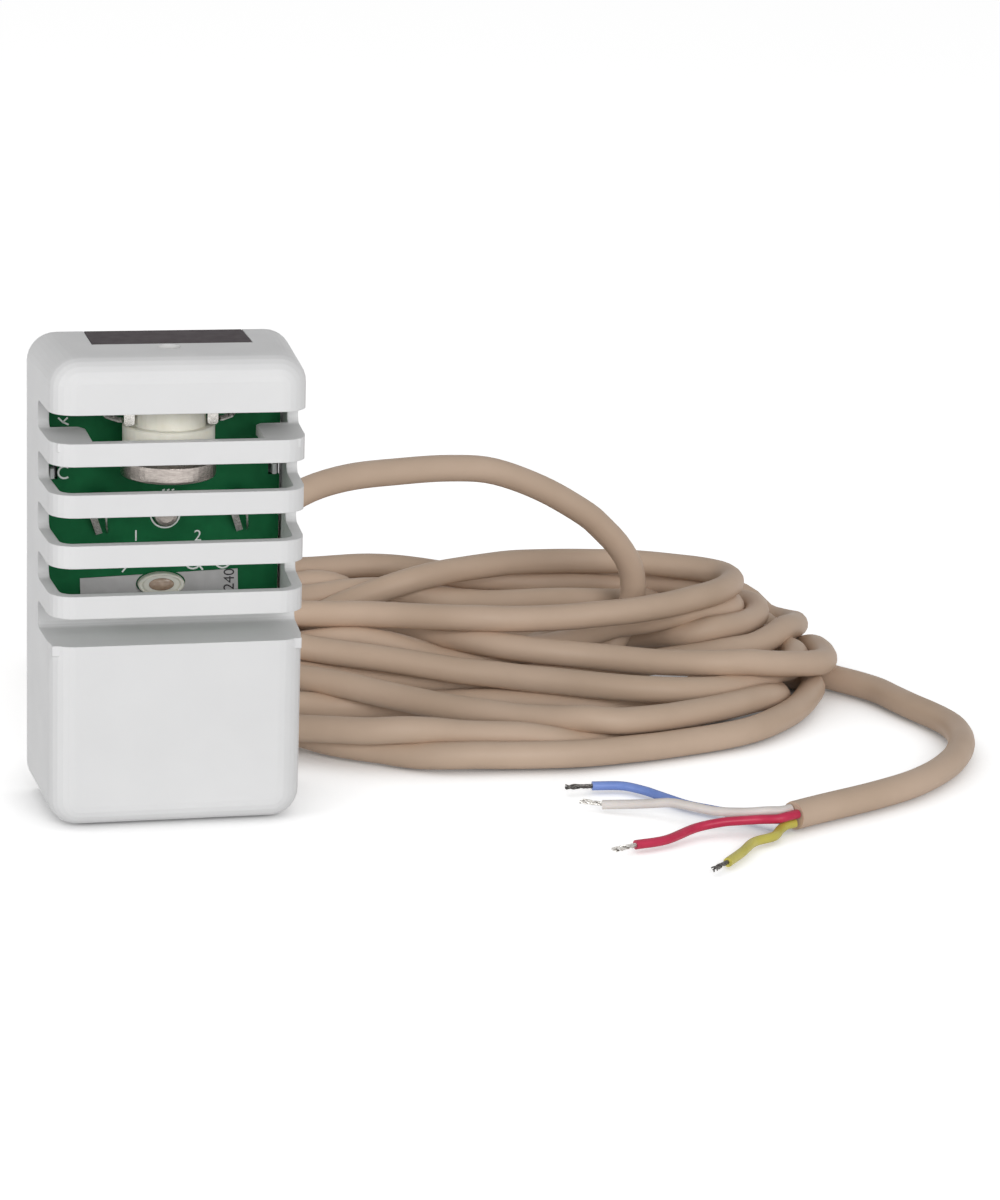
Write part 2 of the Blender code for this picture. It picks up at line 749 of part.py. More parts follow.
def resistors(body_material, leg_material):
    """Two upright resistors, each with a flat leg and a wire leg down to the board."""
    back = from_front(BOARD_FRONT - RESISTOR_STANDOFF)
    foot = from_front(BOARD_FRONT) - GAP
    low_z = RESISTOR_Z - RESISTOR_HEIGHT / 2
    middle = back - RESISTOR_THICKNESS / 2
    for x, side in zip(RESISTOR_X, ("left", "right")):
        half = RESISTOR_WIDTH / 2
        body = rounded_box(
            (x - half, back - RESISTOR_THICKNESS, low_z),
            (x + half, back, low_z + RESISTOR_HEIGHT),
            1,
            RESISTOR_HEIGHT * 0.35,
        )
        part(f"resistor_{side}_body", body, body_material)
        flat_leg(f"resistor_{side}_flat_leg", x, low_z - GAP, middle, foot, leg_material)
        wire = [
            (x + 1.2 * MM, middle, low_z - GAP),
            (x + 1.3 * MM, middle + 0.2 * MM, low_z - 1.4 * MM),
            (x + 1.7 * MM, foot - 0.7 * MM, LEG_FOOT_Z + 0.6 * MM),
            (x + 1.8 * MM, foot, LEG_FOOT_Z + 0.1 * MM),
        ]
        tube(f"resistor_{side}_wire_leg", wire, WIRE_LEG_DIAMETER, leg_material, spacing=1.2 * MM)


def flat_leg(name, x, top, middle, foot, material):
    """A flat tinned leg that leans from under the resistor to the board."""
    low = (-FLAT_LEG_WIDTH / 2, -FLAT_LEG_THICKNESS / 2, 0.0)
    start = Vector((x + 0.2 * MM, foot - FLAT_LEG_THICKNESS, LEG_FOOT_Z))
    end = Vector((x - 1.2 * MM, middle, top - FLAT_LEG_THICKNESS / 2))
    way = end - start
    bm = box(low, (FLAT_LEG_WIDTH / 2, FLAT_LEG_THICKNESS / 2, way.length))
    turn = Vector((0.0, 0.0, 1.0)).rotation_difference(way).to_matrix().to_4x4()
    bmesh.ops.transform(bm, matrix=Matrix.Translation(start) @ turn, verts=bm.verts)
    part(name, bm, material)


# Overheat cutout


def cutout_cap(material):
    """The drawn metal cap that faces down and feels the heat."""
    radius = CAP_DIAMETER / 2
    edge = CAP_EDGE_RADIUS
    bottom = arc_points((radius - edge, edge), edge, 0, -90)
    rim = [(0.0, CAP_HEIGHT), (radius - edge, CAP_HEIGHT), (radius, CAP_HEIGHT - edge)]
    profile = [*rim, *bottom, (0.0, 0.0)]
    made = turned("cutout_cap", profile, material, 48)
    made.location = (CUTOUT_X, from_front(CUTOUT_AXIS), CAP_BOTTOM)


def cutout_body(material):
    """The stepped moulded body, with a blind guide for the reset button in its top."""
    base = BODY_DIAMETER / 2
    neck = BODY_NECK_DIAMETER / 2
    guide = BUTTON_DIAMETER / 2 + GAP
    guide_bottom = BODY_HEIGHT - BUTTON_GUIDE_DEPTH - BUTTON_TRAVEL
    groove = base - BODY_RIM_GROOVE
    profile = [
        (0.0, guide_bottom),
        (guide, guide_bottom),
        (guide, BODY_HEIGHT),
        (neck - 0.4 * MM, BODY_HEIGHT),
        (neck, BODY_HEIGHT - 0.4 * MM),
        (neck, BODY_SHOULDER_HEIGHT),
        (base - 0.3 * MM, BODY_SHOULDER_HEIGHT),
        (base, BODY_SHOULDER_HEIGHT - 0.3 * MM),
        (base, 1.0 * MM),
        (groove, 0.7 * MM),
        (groove, 0.0),
        (0.0, 0.0),
    ]
    made = turned("cutout_body", profile, material, 40)
    made.location = (CUTOUT_X, from_front(CUTOUT_AXIS), BODY_BOTTOM)


def reset_button(material):
    """The button that stands in the housing's top hole and travels down into its guide."""
    radius = BUTTON_DIAMETER / 2
    bottom = BODY_TOP - BUTTON_GUIDE_DEPTH
    edge = 0.35 * MM
    top = BUTTON_TOP - bottom
    round_top = arc_points((radius - edge, top - edge), edge, 90, 0, 3)
    profile = [(0.0, top), *round_top, (radius, 0.0), (0.0, 0.0)]
    made = turned("reset_button", profile, material, 24)
    made.location = (CUTOUT_X, from_front(CUTOUT_AXIS), bottom)


def terminals_and_leads(tab_material, lead_material):
    """The two tabs on the cutout's shoulder and the bent leads from them to the board."""
    y = from_front(CUTOUT_AXIS) - TERMINAL_FORWARD
    bottom = BODY_BOTTOM + BODY_SHOULDER_HEIGHT + GAP
    for side, name in ((-1, "left"), (1, "right")):
        x = CUTOUT_X + side * TERMINAL_FROM_AXIS
        low = (x - TERMINAL_WIDTH / 2, y - TERMINAL_THICKNESS / 2, bottom)
        high = (x + TERMINAL_WIDTH / 2, y + TERMINAL_THICKNESS / 2, bottom + TERMINAL_HEIGHT)
        tab = rounded_box(low, high, 1, TERMINAL_WIDTH * 0.3, 3)
        part(f"cutout_terminal_{name}", tab, tab_material)
        edge = x + side * (TERMINAL_WIDTH / 2 + GAP)
        pad = from_front(BOARD_FRONT) - GAP
        lift = bottom + LEAD_DIAMETER / 2
        route = [
            (edge, y, lift + 0.5 * MM),
            (edge + side * 1.6 * MM, y + 0.5 * MM, lift + 0.5 * MM),
            (edge + side * 3.6 * MM, y + 2.2 * MM, lift + 1.8 * MM),
            (side * (LEAD_PAD_X - 0.8 * MM), y + 5.4 * MM, lift + 4.2 * MM),
            (side * LEAD_PAD_X, pad - 3.4 * MM, LEAD_PAD_Z - 0.6 * MM),
            (side * LEAD_PAD_X, pad, LEAD_PAD_Z),
        ]
        tube(f"cutout_lead_{name}", route, LEAD_DIAMETER, lead_material)


# Cable


CABLE_RUN = [  # from inside the housing, out of the back, over in one arc and down to the coil
    (CABLE_X / MM, 5.4, CABLE_Z / MM),
    (CABLE_X / MM, 10.0, CABLE_Z / MM),
    (CABLE_X / MM, 16.5, CABLE_Z / MM),
    (8.7, 22.0, 28.2),
    (11.4, 26.8, 31.6),
    (16.0, 31.5, 37.5),
    (23.5, 35.8, 45.0),
    (33.3, 39.5, 50.4),
    (44.0, 44.5, 52.6),
    (55.5, 49.5, 52.9),
    (67.3, 54.5, 52.1),
    (79.2, 59.0, 50.0),
    (91.4, 63.5, 45.7),
    (103.0, 67.5, 38.2),
    (110.2, 70.4, 32.4),
    (113.2, 71.8, 28.3),
    (113.2, 71.8, (COIL_HEIGHT + GAP) / MM),
]

CABLE_TAIL = [  # out of the coil, round on the table and back to the stripped end
    (155.8, 53.2, 2.81),
    (159.3, 51.2, 2.81),
    (162.4, 45.0, 2.81),
    (165.2, 35.0, 2.81),
    (168.0, 24.0, 2.81),
    (168.6, 13.5, 2.81),
    (166.0, 4.0, 2.81),
    (159.4, -5.2, 2.81),
    (148.8, -15.2, 2.81),
    (136.4, -22.8, 2.81),
    (125.2, -28.4, 2.81),
    (117.4, -32.0, 2.81),
]

CORES = {  # each insulated core on the table, from the jacket's end to where its insulation stops
    "white": [
        (116.8, -31.5, 4.08),
        (114.6, -32.5, 4.08),
        (112.0, -32.0, 3.98),
        (107.9, -30.8, 3.5),
        (102.7, -28.7, 3.25),
        (99.0, -25.1, 3.15),
        (95.7, -22.1, 3.05),
        (92.8, -20.4, 2.5),
        (89.7, -18.4, 1.8),
        (83.4, -16.1, 1.2),
    ],
    "blue": [
        (116.6, -31.0, 2.07),
        (114.4, -32.0, 2.07),
        (112.0, -32.1, 1.62),
        (108.5, -29.3, 1.1),
        (102.7, -28.9, 1.05),
        (100.3, -24.2, 1.02),
        (98.6, -18.1, 1.02),
        (96.8, -13.0, 1.05),
        (93.8, -8.3, 1.1),
        (90.4, -5.2, 1.1),
        (84.4, -4.7, 1.2),
    ],
    "red": [
        (117.7, -33.3, 3.54),
        (115.5, -34.3, 3.54),
        (113.2, -34.7, 3.25),
        (110.0, -33.6, 2.9),
        (106.1, -33.2, 2.7),
        (102.6, -32.8, 2.4),
        (97.2, -33.4, 1.7),
        (90.1, -37.8, 1.2),
        (83.5, -39.7, 1.2),
    ],
    "yellow": [
        (117.4, -32.8, 1.54),
        (115.3, -33.8, 1.54),
        (113.6, -35.4, 1.24),
        (111.4, -38.5, 1.1),
        (106.6, -41.1, 1.1),
        (102.6, -46.3, 1.1),
        (98.2, -51.4, 1.1),
    ],
}
STRAND_ENDS = {
    "white": (79.3, -14.1, 1.5),
    "blue": (78.6, -5.5, 1.5),
    "red": (78.2, -42.8, 1.5),
    "yellow": (94.1, -55.4, 1.3),
}
CORE_SIDES = {"white": (-1, 1), "blue": (1, 1), "red": (-1, -1), "yellow": (1, -1)}


def metres(points):
    return [tuple(value * MM for value in point) for point in points]


def grommet_and_tie(rubber, nylon):
    """The grommet that seals the cable in the back plate, and the tie that stops it inside."""
    bore = CABLE_DIAMETER / 2 + GAP
    flange = GROMMET_FLANGE_DIAMETER / 2
    neck = GROMMET_NECK_DIAMETER / 2
    thick = GROMMET_FLANGE_THICKNESS
    waist = GROMMET_SEAT_THICKNESS + 2 * GAP
    edge = 0.3 * MM
    profile = [
        (bore, 2 * thick + waist),
        (flange - edge, 2 * thick + waist),
        (flange, 2 * thick + waist - edge),
        (flange, thick + waist),
        (neck, thick + waist),
        (neck, thick),
        (flange, thick),
        (flange, edge),
        (flange - edge, 0.0),
        (bore, 0.0),
    ]
    made = turned("cable_grommet", profile, rubber, ROUND_STEPS, closed=True)
    made.rotation_euler = (math.radians(90), 0.0, 0.0)
    made.location = (CABLE_X, REAR, CABLE_Z)

    outer = bore + TIE_THICKNESS
    ring = [(bore, TIE_WIDTH), (outer, TIE_WIDTH), (outer, 0.0), (bore, 0.0)]
    tie = turned("cable_tie", ring, nylon, SMALL_STEPS, closed=True)
    tie.rotation_euler = (math.radians(90), 0.0, 0.0)
    tie.location = (CABLE_X, from_front(TIE_FRONT) + TIE_WIDTH, CABLE_Z)
    head = 3.6 * MM
    grow(
        tie,
        "tie_head",
        box(
            (CABLE_X - head / 2, from_front(TIE_FRONT) - 0.2 * MM, CABLE_Z - outer - 1.6 * MM),
            (CABLE_X + head / 2, from_front(TIE_FRONT) + TIE_WIDTH + 0.2 * MM, CABLE_Z - outer + 0.5 * MM),
        ),
    )


def coil(material):
    """The coiled cable as one plain ring, stretched to an oval and leaning back as it rises."""
    outer = COIL_WIDTH / 2
    top = outer * COIL_TOP_SHRINK
    inner = COIL_OPENING_WIDTH / 2
    round_edge = CABLE_DIAMETER / 2
    profile = [
        (inner, COIL_HEIGHT),
        (top - round_edge, COIL_HEIGHT),
        (top + round_edge / 2, COIL_HEIGHT - round_edge),
        ((top + outer) / 2 + round_edge, COIL_HEIGHT / 2),
        (outer, 2 * round_edge),
        (outer, round_edge),
        (outer - round_edge, 0.0),
        (inner + round_edge, 0.0),
        (inner, round_edge),
    ]
    ring = turned("cable_coil", profile, material, 40, closed=True)
    depsgraph = bpy.context.evaluated_depsgraph_get()
    mesh = bpy.data.meshes.new_from_object(ring.evaluated_get(depsgraph))
    bpy.data.objects.remove(ring)
    lean = Matrix.Identity(4)
    lean[1][2] = COIL_LEAN / COIL_HEIGHT
    oval = Matrix.Diagonal((1.0, COIL_DEPTH / COIL_WIDTH, 1.0, 1.0))
    mesh.transform(Matrix.Translation((*COIL_CENTRE, 0.0)) @ lean @ oval)
    mesh.name = "cable_coil"
    mesh.materials.clear()
    return part("cable_coil", mesh, material)


def cores(materials, tinned):
    """The four insulated cores past the stripped end, and their bare tinned strands."""
    for name, path in CORES.items():
        route = [Vector(point) for point in metres(path)]
        tube(f"core_{name}", route, CORE_DIAMETER, materials[name], spacing=2.5 * CORE_DIAMETER)
        tip = Vector(metres([STRAND_ENDS[name]])[0])
        bare = (route[-1] - route[-2]).normalized()
        start = route[-1] + bare * GAP
        route = [start, start + bare * 1.5 * MM, tip]
        tube(f"strands_{name}", route, STRAND_DIAMETER, tinned, spacing=2.0 * MM)


def inner_cores(materials):
    """The same four cores inside the housing, from the jacket's inner end up to the board."""
    jacket_end = CABLE_RUN[0][1] * MM - GAP
    pad = from_front(BOARD_FRONT) - GAP
    top = BOARD_BOTTOM + CORE_DIAMETER
    for name, (side, level) in CORE_SIDES.items():
        x = CABLE_X + side * CORE_OFFSET
        z = CABLE_Z + level * CORE_OFFSET
        pad_x = CABLE_X + side * (PAD_SPACING / 2 if level > 0 else PAD_SPACING * 1.5)
        swing = jacket_end - (2.6 * MM if level > 0 else 3.4 * MM)
        route = [
            (x, jacket_end, z),
            (x, jacket_end - 1.1 * MM, z),
            ((x + pad_x) / 2, swing, z + 2.2 * MM),
            (pad_x, swing + 0.7 * MM, top - 3.8 * MM),
            (pad_x, pad - 2.8 * MM, top - 1.3 * MM),
            (pad_x, pad - 1.5 * MM, top),
            (pad_x, pad, top),
        ]
        tube(f"inner_core_{name}", route, CORE_DIAMETER, materials[name], spacing=2.0 * CORE_DIAMETER)


def build():
    clear_scene()
    white = finish("white_heatproof_plastic", (0.78, 0.79, 0.79), 0.42)
    plate = finish("white_plate_plastic", (0.72, 0.73, 0.73), 0.5)
    label = finish("grey_film", (0.1, 0.08, 0.085), 0.35)
    green = finish("green_solder_mask", (0.0, 0.12, 0.035), 0.35)
    grey_label = finish("grey_paper", (0.42, 0.41, 0.42), 0.6)
    cream = finish("cream_moulding", (0.72, 0.7, 0.56), 0.45)
    bead = finish("amber_bead", (0.42, 0.3, 0.22), 0.15)
    steel = finish("brushed_steel", (0.5, 0.47, 0.44), 0.35, 1.0)
    tinned = finish("tinned_copper", (0.62, 0.6, 0.57), 0.3, 1.0)
    dark = finish("dark_ceramic", (0.1, 0.09, 0.08), 0.5)
    rubber = finish("beige_rubber", (0.42, 0.32, 0.23), 0.6)
    nylon = finish("natural_nylon", (0.7, 0.7, 0.64), 0.5)
    jacket = finish("beige_silicone", (0.45, 0.35, 0.25), 0.5)
    core_finishes = {
        "white": finish("core_white", (0.78, 0.74, 0.72), 0.5),
        "blue": finish("core_blue", (0.13, 0.24, 0.66), 0.5),
        "red": finish("core_red", (0.6, 0.03, 0.09), 0.5),
        "yellow": finish("core_yellow", (0.62, 0.6, 0.1), 0.5),
    }

    louvred_cover(white)
    top_label(label)
    back_plate(plate)
    cover_screws(steel)
    circuit_board(green)
    board_screw(steel)
    board_label(grey_label)
    sensor_bush(cream)
    sensor_bead(bead)
    resistors(dark, tinned)
    cutout_cap(steel)
    cutout_body(cream)
    reset_button(cream)
    terminals_and_leads(tinned, tinned)
    grommet_and_tie(rubber, nylon)
    tube("cable_run", metres(CABLE_RUN), CABLE_DIAMETER, jacket, spacing=2 * CABLE_DIAMETER)
    coil(jacket)
    tube("cable_tail", metres(CABLE_TAIL), CABLE_DIAMETER, jacket)
    cores(core_finishes, tinned)
    inner_cores(core_finishes)


build()
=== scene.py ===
"""The sauna temperature sensor in a pale studio: a louvred housing on its coiled, stripped cable."""

import logging
import math
from dataclasses import dataclass, field
from enum import Enum
from typing import Sequence

import bpy
from mathutils import Matrix, Vector


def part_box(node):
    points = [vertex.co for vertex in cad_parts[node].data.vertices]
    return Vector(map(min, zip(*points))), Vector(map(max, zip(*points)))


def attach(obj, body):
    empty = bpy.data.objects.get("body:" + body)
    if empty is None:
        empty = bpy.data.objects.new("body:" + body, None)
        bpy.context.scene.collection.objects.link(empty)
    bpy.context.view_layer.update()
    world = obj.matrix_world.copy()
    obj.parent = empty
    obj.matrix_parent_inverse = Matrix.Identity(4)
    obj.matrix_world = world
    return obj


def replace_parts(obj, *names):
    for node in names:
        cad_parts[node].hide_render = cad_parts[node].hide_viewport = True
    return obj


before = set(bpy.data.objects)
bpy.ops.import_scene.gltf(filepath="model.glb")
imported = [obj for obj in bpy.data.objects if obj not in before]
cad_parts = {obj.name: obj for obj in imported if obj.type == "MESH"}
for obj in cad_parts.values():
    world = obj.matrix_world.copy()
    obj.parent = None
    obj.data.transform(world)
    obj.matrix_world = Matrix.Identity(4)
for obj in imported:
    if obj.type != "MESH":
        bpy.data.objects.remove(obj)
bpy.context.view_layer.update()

Point = tuple[float, float, float]
Flat = tuple[float, float]
Colour = tuple[float, float, float]

MM = 0.001
BOARD_FACE = 7.8
CURVE_STEPS = 24
COAT_ROUGHNESS = 0.12
SCATTER_RADIUS = (0.0012, 0.0009, 0.0006)
LAMP_AIM = (0.06, 0.03, 0.04)
log = logging.getLogger("sauna_sensor")


def metres(points: Sequence[Point]) -> list[Vector]:
    """Turns points in millimetres into vectors in metres.

    Args:
        points: places in the object's frame, in millimetres.

    Returns:
        The same places in metres.
    """
    return [Vector(point) * MM for point in points]


def spun(points: Sequence[Vector], spacing: float) -> list[Vector]:
    """Draws one smooth line through waypoints, with even steps along it.

    Args:
        points: the waypoints, in metres.
        spacing: the distance wanted from one point to the next, in metres.

    Returns:
        The line's points, from the first waypoint to the last.
    """
    ends = [points[0] * 2 - points[1], *points, points[-1] * 2 - points[-2]]
    fine: list[Vector] = []
    for a, b, c, d in zip(ends, ends[1:], ends[2:], ends[3:]):
        for step in range(CURVE_STEPS):
            t = step / CURVE_STEPS
            square = (2 * a - 5 * b + 4 * c - d) * t**2
            cube = (3 * b - a - 3 * c + d) * t**3
            fine.append(0.5 * (2 * b + (c - a) * t + square + cube))
    fine.append(points[-1].copy())
    reach = [0.0]
    for a, b in zip(fine, fine[1:]):
        reach.append(reach[-1] + (b - a).length)
    count = max(2, round(reach[-1] / spacing))
    line: list[Vector] = []
    at = 0
    for step in range(count + 1):
        want = reach[-1] * step / count
        while at < len(fine) - 2 and reach[at + 1] < want:
            at += 1
        span = max(reach[at + 1] - reach[at], 1e-12)
        line.append(fine[at].lerp(fine[at + 1], (want - reach[at]) / span))
    return line


def length_of(line: Sequence[Vector]) -> float:
    """Measures a line.

    Args:
        line: its points.

    Returns:
        Its length, in the unit of the points.
    """
    return sum((b - a).length for a, b in zip(line, line[1:]))


class Grain(Enum):
    """Which way the fine relief of a surface runs."""

    EVEN = (1.0, 1.0, 1.0)
    AROUND = (1.0, 1.0, 14.0)


@dataclass(frozen=True)
class Finish:
    """A surface with mottled colour, uneven gloss and a fine relief.

    The sizes are in millimetres, and the two colours are its lighter and darker tones.
    """

    name: str
    slot: str
    light: Colour
    dark: Colour
    mottle: float = 6.0
    gloss: Flat = (0.4, 0.55)
    relief: float = 0.35
    depth: float = 0.02
    grain: Grain = Grain.EVEN
    metallic: float = 0.0
    coat: float = 0.0
    soft_edge: float = 0.0
    scatter: float = 0.0
    shine: float = 0.42

    def material(self) -> bpy.types.Material:
        """Makes the finish's material, or finds it where it is made already.

        Returns:
            The material.
        """
        found = bpy.data.materials.get(self.name)
        if found:
            return found
        made = bpy.data.materials.new(self.name)
        made.use_nodes = True
        tree = made.node_tree
        shader = next(node for node in tree.nodes if node.type == "BSDF_PRINCIPLED")
        shader.inputs["Metallic"].default_value = self.metallic
        shader.inputs["Coat Weight"].default_value = self.coat
        shader.inputs["Coat Roughness"].default_value = COAT_ROUGHNESS
        shader.inputs["Specular IOR Level"].default_value = self.shine
        if self.scatter:
            shader.inputs["Subsurface Weight"].default_value = self.scatter
            shader.inputs["Subsurface Radius"].default_value = SCATTER_RADIUS
            shader.inputs["Subsurface Scale"].default_value = 1.0
        place = tree.nodes.new("ShaderNodeTexCoord")
        self.colour(tree, place, shader)
        self.sheen(tree, place, shader)
        self.relieve(tree, place, shader)
        return made

    def noise(
        self, tree: bpy.types.NodeTree, place: bpy.types.Node, size: float, detail: float
    ) -> bpy.types.Node:
        """Adds a noise of one size, stretched along the grain.

        Args:
            tree: the material's nodes.
            place: the node that gives the place on the surface.
            size: the size of a patch, in millimetres.
            detail: how many finer layers lie in it.

        Returns:
            The noise node.
        """
        stretch = tree.nodes.new("ShaderNodeMapping")
        stretch.inputs["Scale"].default_value = self.grain.value
        noise = tree.nodes.new("ShaderNodeTexNoise")
        noise.inputs["Scale"].default_value = 1 / (size * MM)
        noise.inputs["Detail"].default_value = detail
        tree.links.new(place.outputs["Object"], stretch.inputs["Vector"])
        tree.links.new(stretch.outputs["Vector"], noise.inputs["Vector"])
        return noise

    def colour(self, tree: bpy.types.NodeTree, place: bpy.types.Node, shader: bpy.types.Node) -> None:
        """Lays the mottled colour.

        Args:
            tree: the material's nodes.
            place: the node that gives the place on the surface.
            shader: the surface shader.
        """
        noise = self.noise(tree, place, self.mottle, 4)
        ramp = tree.nodes.new("ShaderNodeValToRGB")
        ramp.color_ramp.elements[0].position = 0.3
        ramp.color_ramp.elements[0].color = (*self.dark, 1)
        ramp.color_ramp.elements[1].position = 0.7
        ramp.color_ramp.elements[1].color = (*self.light, 1)
        tree.links.new(noise.outputs["Fac"], ramp.inputs["Fac"])
        tree.links.new(ramp.outputs["Color"], shader.inputs["Base Color"])

    def sheen(self, tree: bpy.types.NodeTree, place: bpy.types.Node, shader: bpy.types.Node) -> None:
        """Makes the gloss uneven.

        Args:
            tree: the material's nodes.
            place: the node that gives the place on the surface.
            shader: the surface shader.
        """
        noise = self.noise(tree, place, self.mottle * 0.4, 3)
        spread = tree.nodes.new("ShaderNodeMapRange")
        spread.inputs["From Min"].default_value = 0.3
        spread.inputs["From Max"].default_value = 0.7
        spread.inputs["To Min"].default_value = self.gloss[0]
        spread.inputs["To Max"].default_value = self.gloss[1]
        tree.links.new(noise.outputs["Fac"], spread.inputs["Value"])
        tree.links.new(spread.outputs["Result"], shader.inputs["Roughness"])

    def relieve(self, tree: bpy.types.NodeTree, place: bpy.types.Node, shader: bpy.types.Node) -> None:
        """Raises the fine relief, and rounds the sharp edges a little.

        Args:
            tree: the material's nodes.
            place: the node that gives the place on the surface.
            shader: the surface shader.
        """
        noise = self.noise(tree, place, self.relief, 2)
        bump = tree.nodes.new("ShaderNodeBump")
        bump.inputs["Strength"].default_value = 0.5
        bump.inputs["Distance"].default_value = self.depth * MM
        tree.links.new(noise.outputs["Fac"], bump.inputs["Height"])
        tree.links.new(bump.outputs["Normal"], shader.inputs["Normal"])
        if self.soft_edge:
            edge = tree.nodes.new("ShaderNodeBevel")
            edge.samples = 6
            edge.inputs["Radius"].default_value = self.soft_edge * MM
            tree.links.new(edge.outputs["Normal"], bump.inputs["Normal"])


COVER = Finish(
    "cover plastic", "cover_plastic", light=(0.808, 0.808, 0.810), dark=(0.782, 0.782, 0.785), mottle=14,
    gloss=(0.38, 0.48), relief=0.5, depth=0.012, soft_edge=0.25, shine=0.15,
)
PLATE = Finish(
    "plate plastic", "plate_plastic", light=(0.74, 0.75, 0.75), dark=(0.70, 0.71, 0.71), mottle=14,
    gloss=(0.45, 0.6), relief=0.4, depth=0.03, soft_edge=0.2, shine=0.15,
)
FILM = Finish(
    "dark label film", "dark_film", light=(0.120, 0.104, 0.110), dark=(0.096, 0.082, 0.088), mottle=3,
    gloss=(0.5, 0.62), relief=0.2, depth=0.01, shine=0.02,
)
MASK = Finish(
    "green solder mask", "solder_mask", light=(0.008, 0.150, 0.050), dark=(0.004, 0.112, 0.036), mottle=5,
    gloss=(0.42, 0.55), relief=0.6, depth=0.01, shine=0.12,
)
PAPER = Finish(
    "grey label paper", "grey_paper", light=(0.56, 0.55, 0.55), dark=(0.50, 0.49, 0.49), mottle=2,
    gloss=(0.55, 0.7), relief=0.12, depth=0.01,
)
CREAM = Finish(
    "cream moulding", "cream_moulding", light=(0.86, 0.84, 0.75), dark=(0.79, 0.77, 0.67), mottle=3,
    gloss=(0.35, 0.5), relief=0.4, depth=0.02, soft_edge=0.15, scatter=0.15, shine=0.25,
)
AMBER = Finish(
    "bead glass", "amber_bead", light=(0.50, 0.37, 0.27), dark=(0.36, 0.24, 0.17), mottle=0.8,
    gloss=(0.12, 0.2), relief=0.5, depth=0.02, coat=0.6, scatter=0.2,
)
STEEL = Finish(
    "brushed steel", "steel", light=(0.55, 0.50, 0.46), dark=(0.31, 0.27, 0.25), mottle=1.2,
    gloss=(0.22, 0.36), relief=0.15, depth=0.01, grain=Grain.AROUND, metallic=1, soft_edge=0.12,
)
TIN = Finish(
    "tinned wire", "tinned_wire", light=(0.75, 0.73, 0.70), dark=(0.45, 0.43, 0.40), mottle=0.6,
    gloss=(0.2, 0.34), relief=0.2, depth=0.02, metallic=1,
)
DULL_TIN = Finish(
    "dull tinned wire", "tinned_wire", light=(0.20, 0.19, 0.18), dark=(0.06, 0.055, 0.05), mottle=0.6,
    gloss=(0.25, 0.4), relief=0.2, depth=0.02, metallic=1,
)
CERAMIC = Finish(
    "dark ceramic", "dark_ceramic", light=(0.12, 0.11, 0.10), dark=(0.08, 0.07, 0.06), mottle=1.5,
    gloss=(0.4, 0.55), relief=0.2, depth=0.02,
)
GROMMET = Finish(
    "grommet rubber", "grommet_rubber", light=(0.44, 0.34, 0.25), dark=(0.39, 0.30, 0.21), mottle=4,
    gloss=(0.5, 0.62), relief=0.3, depth=0.02,
)
NYLON = Finish(
    "natural nylon", "nylon", light=(0.72, 0.72, 0.66), dark=(0.66, 0.66, 0.60), mottle=3,
    gloss=(0.4, 0.5), relief=0.4, depth=0.02, scatter=0.2,
)
JACKET = Finish(
    "cable jacket", "cable_jacket", light=(0.650, 0.495, 0.380), dark=(0.560, 0.420, 0.312), mottle=22,
    gloss=(0.45, 0.58), relief=0.45, depth=0.012, shine=0.25,
)
INK = Finish(
    "white board print", "solder_mask", light=(0.92, 0.95, 0.92), dark=(0.84, 0.89, 0.85), mottle=0.5,
    gloss=(0.5, 0.6), relief=0.15, depth=0.01,
)
BLACK_INK = Finish(
    "black label print", "grey_paper", light=(0.05, 0.045, 0.05), dark=(0.03, 0.03, 0.03), mottle=0.5,
    gloss=(0.5, 0.6), relief=0.15, depth=0.01,
)


class Core(Enum):
    """The four insulated cores, each with its insulation's finish."""

    WHITE = Finish(
        "white insulation", "core_white", light=(0.80, 0.75, 0.72), dark=(0.70, 0.65, 0.62), mottle=5,
        gloss=(0.35, 0.45), relief=0.3, depth=0.01, scatter=0.15,
    )
    BLUE = Finish(
        "blue insulation", "core_blue", light=(0.24, 0.35, 0.76), dark=(0.18, 0.28, 0.66), mottle=5,
        gloss=(0.36, 0.46), relief=0.3, depth=0.01, shine=0.3,
    )
    RED = Finish(
        "red insulation", "core_red", light=(0.66, 0.045, 0.11), dark=(0.52, 0.020, 0.07), mottle=5,
        gloss=(0.32, 0.42), relief=0.3, depth=0.01, shine=0.3,
    )
    YELLOW = Finish(
        "yellow insulation", "core_yellow", light=(0.66, 0.58, 0.12), dark=(0.56, 0.50, 0.08), mottle=5,
        gloss=(0.35, 0.45), relief=0.3, depth=0.01,
    )

    @property
    def word(self) -> str:
        """The colour's name as the nodes write it."""
        return self.name.lower()

    @property
    def wire_offset(self) -> int:
        """A small whole number that makes each core's wires lie a little differently."""
        return list(Core).index(self)


def dress(finish: Finish, *nodes: str) -> None:
    """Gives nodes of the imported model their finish.

    Args:
        finish: the finish.
        nodes: the nodes' names.
    """
    for name in nodes:
        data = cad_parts[name].data
        if not data.materials:
            data.materials.append(finish.material())
        for index in range(len(data.materials)):
            data.materials[index] = finish.material()
        log.info("dressed %s in %s", name, finish.name)


def add_piece(name: str, data: bpy.types.ID, finish: Finish, body: str = "housing") -> bpy.types.Object:
    """Adds a new piece that rides on a body.

    Args:
        name: the piece's name.
        data: its mesh or curve.
        finish: its finish.
        body: the body it rides on.

    Returns:
        The piece.
    """
    piece = bpy.data.objects.new(name, data)
    bpy.context.scene.collection.objects.link(piece)
    data.materials.append(finish.material())
    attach(piece, body)
    log.info("added %s", name)
    return piece


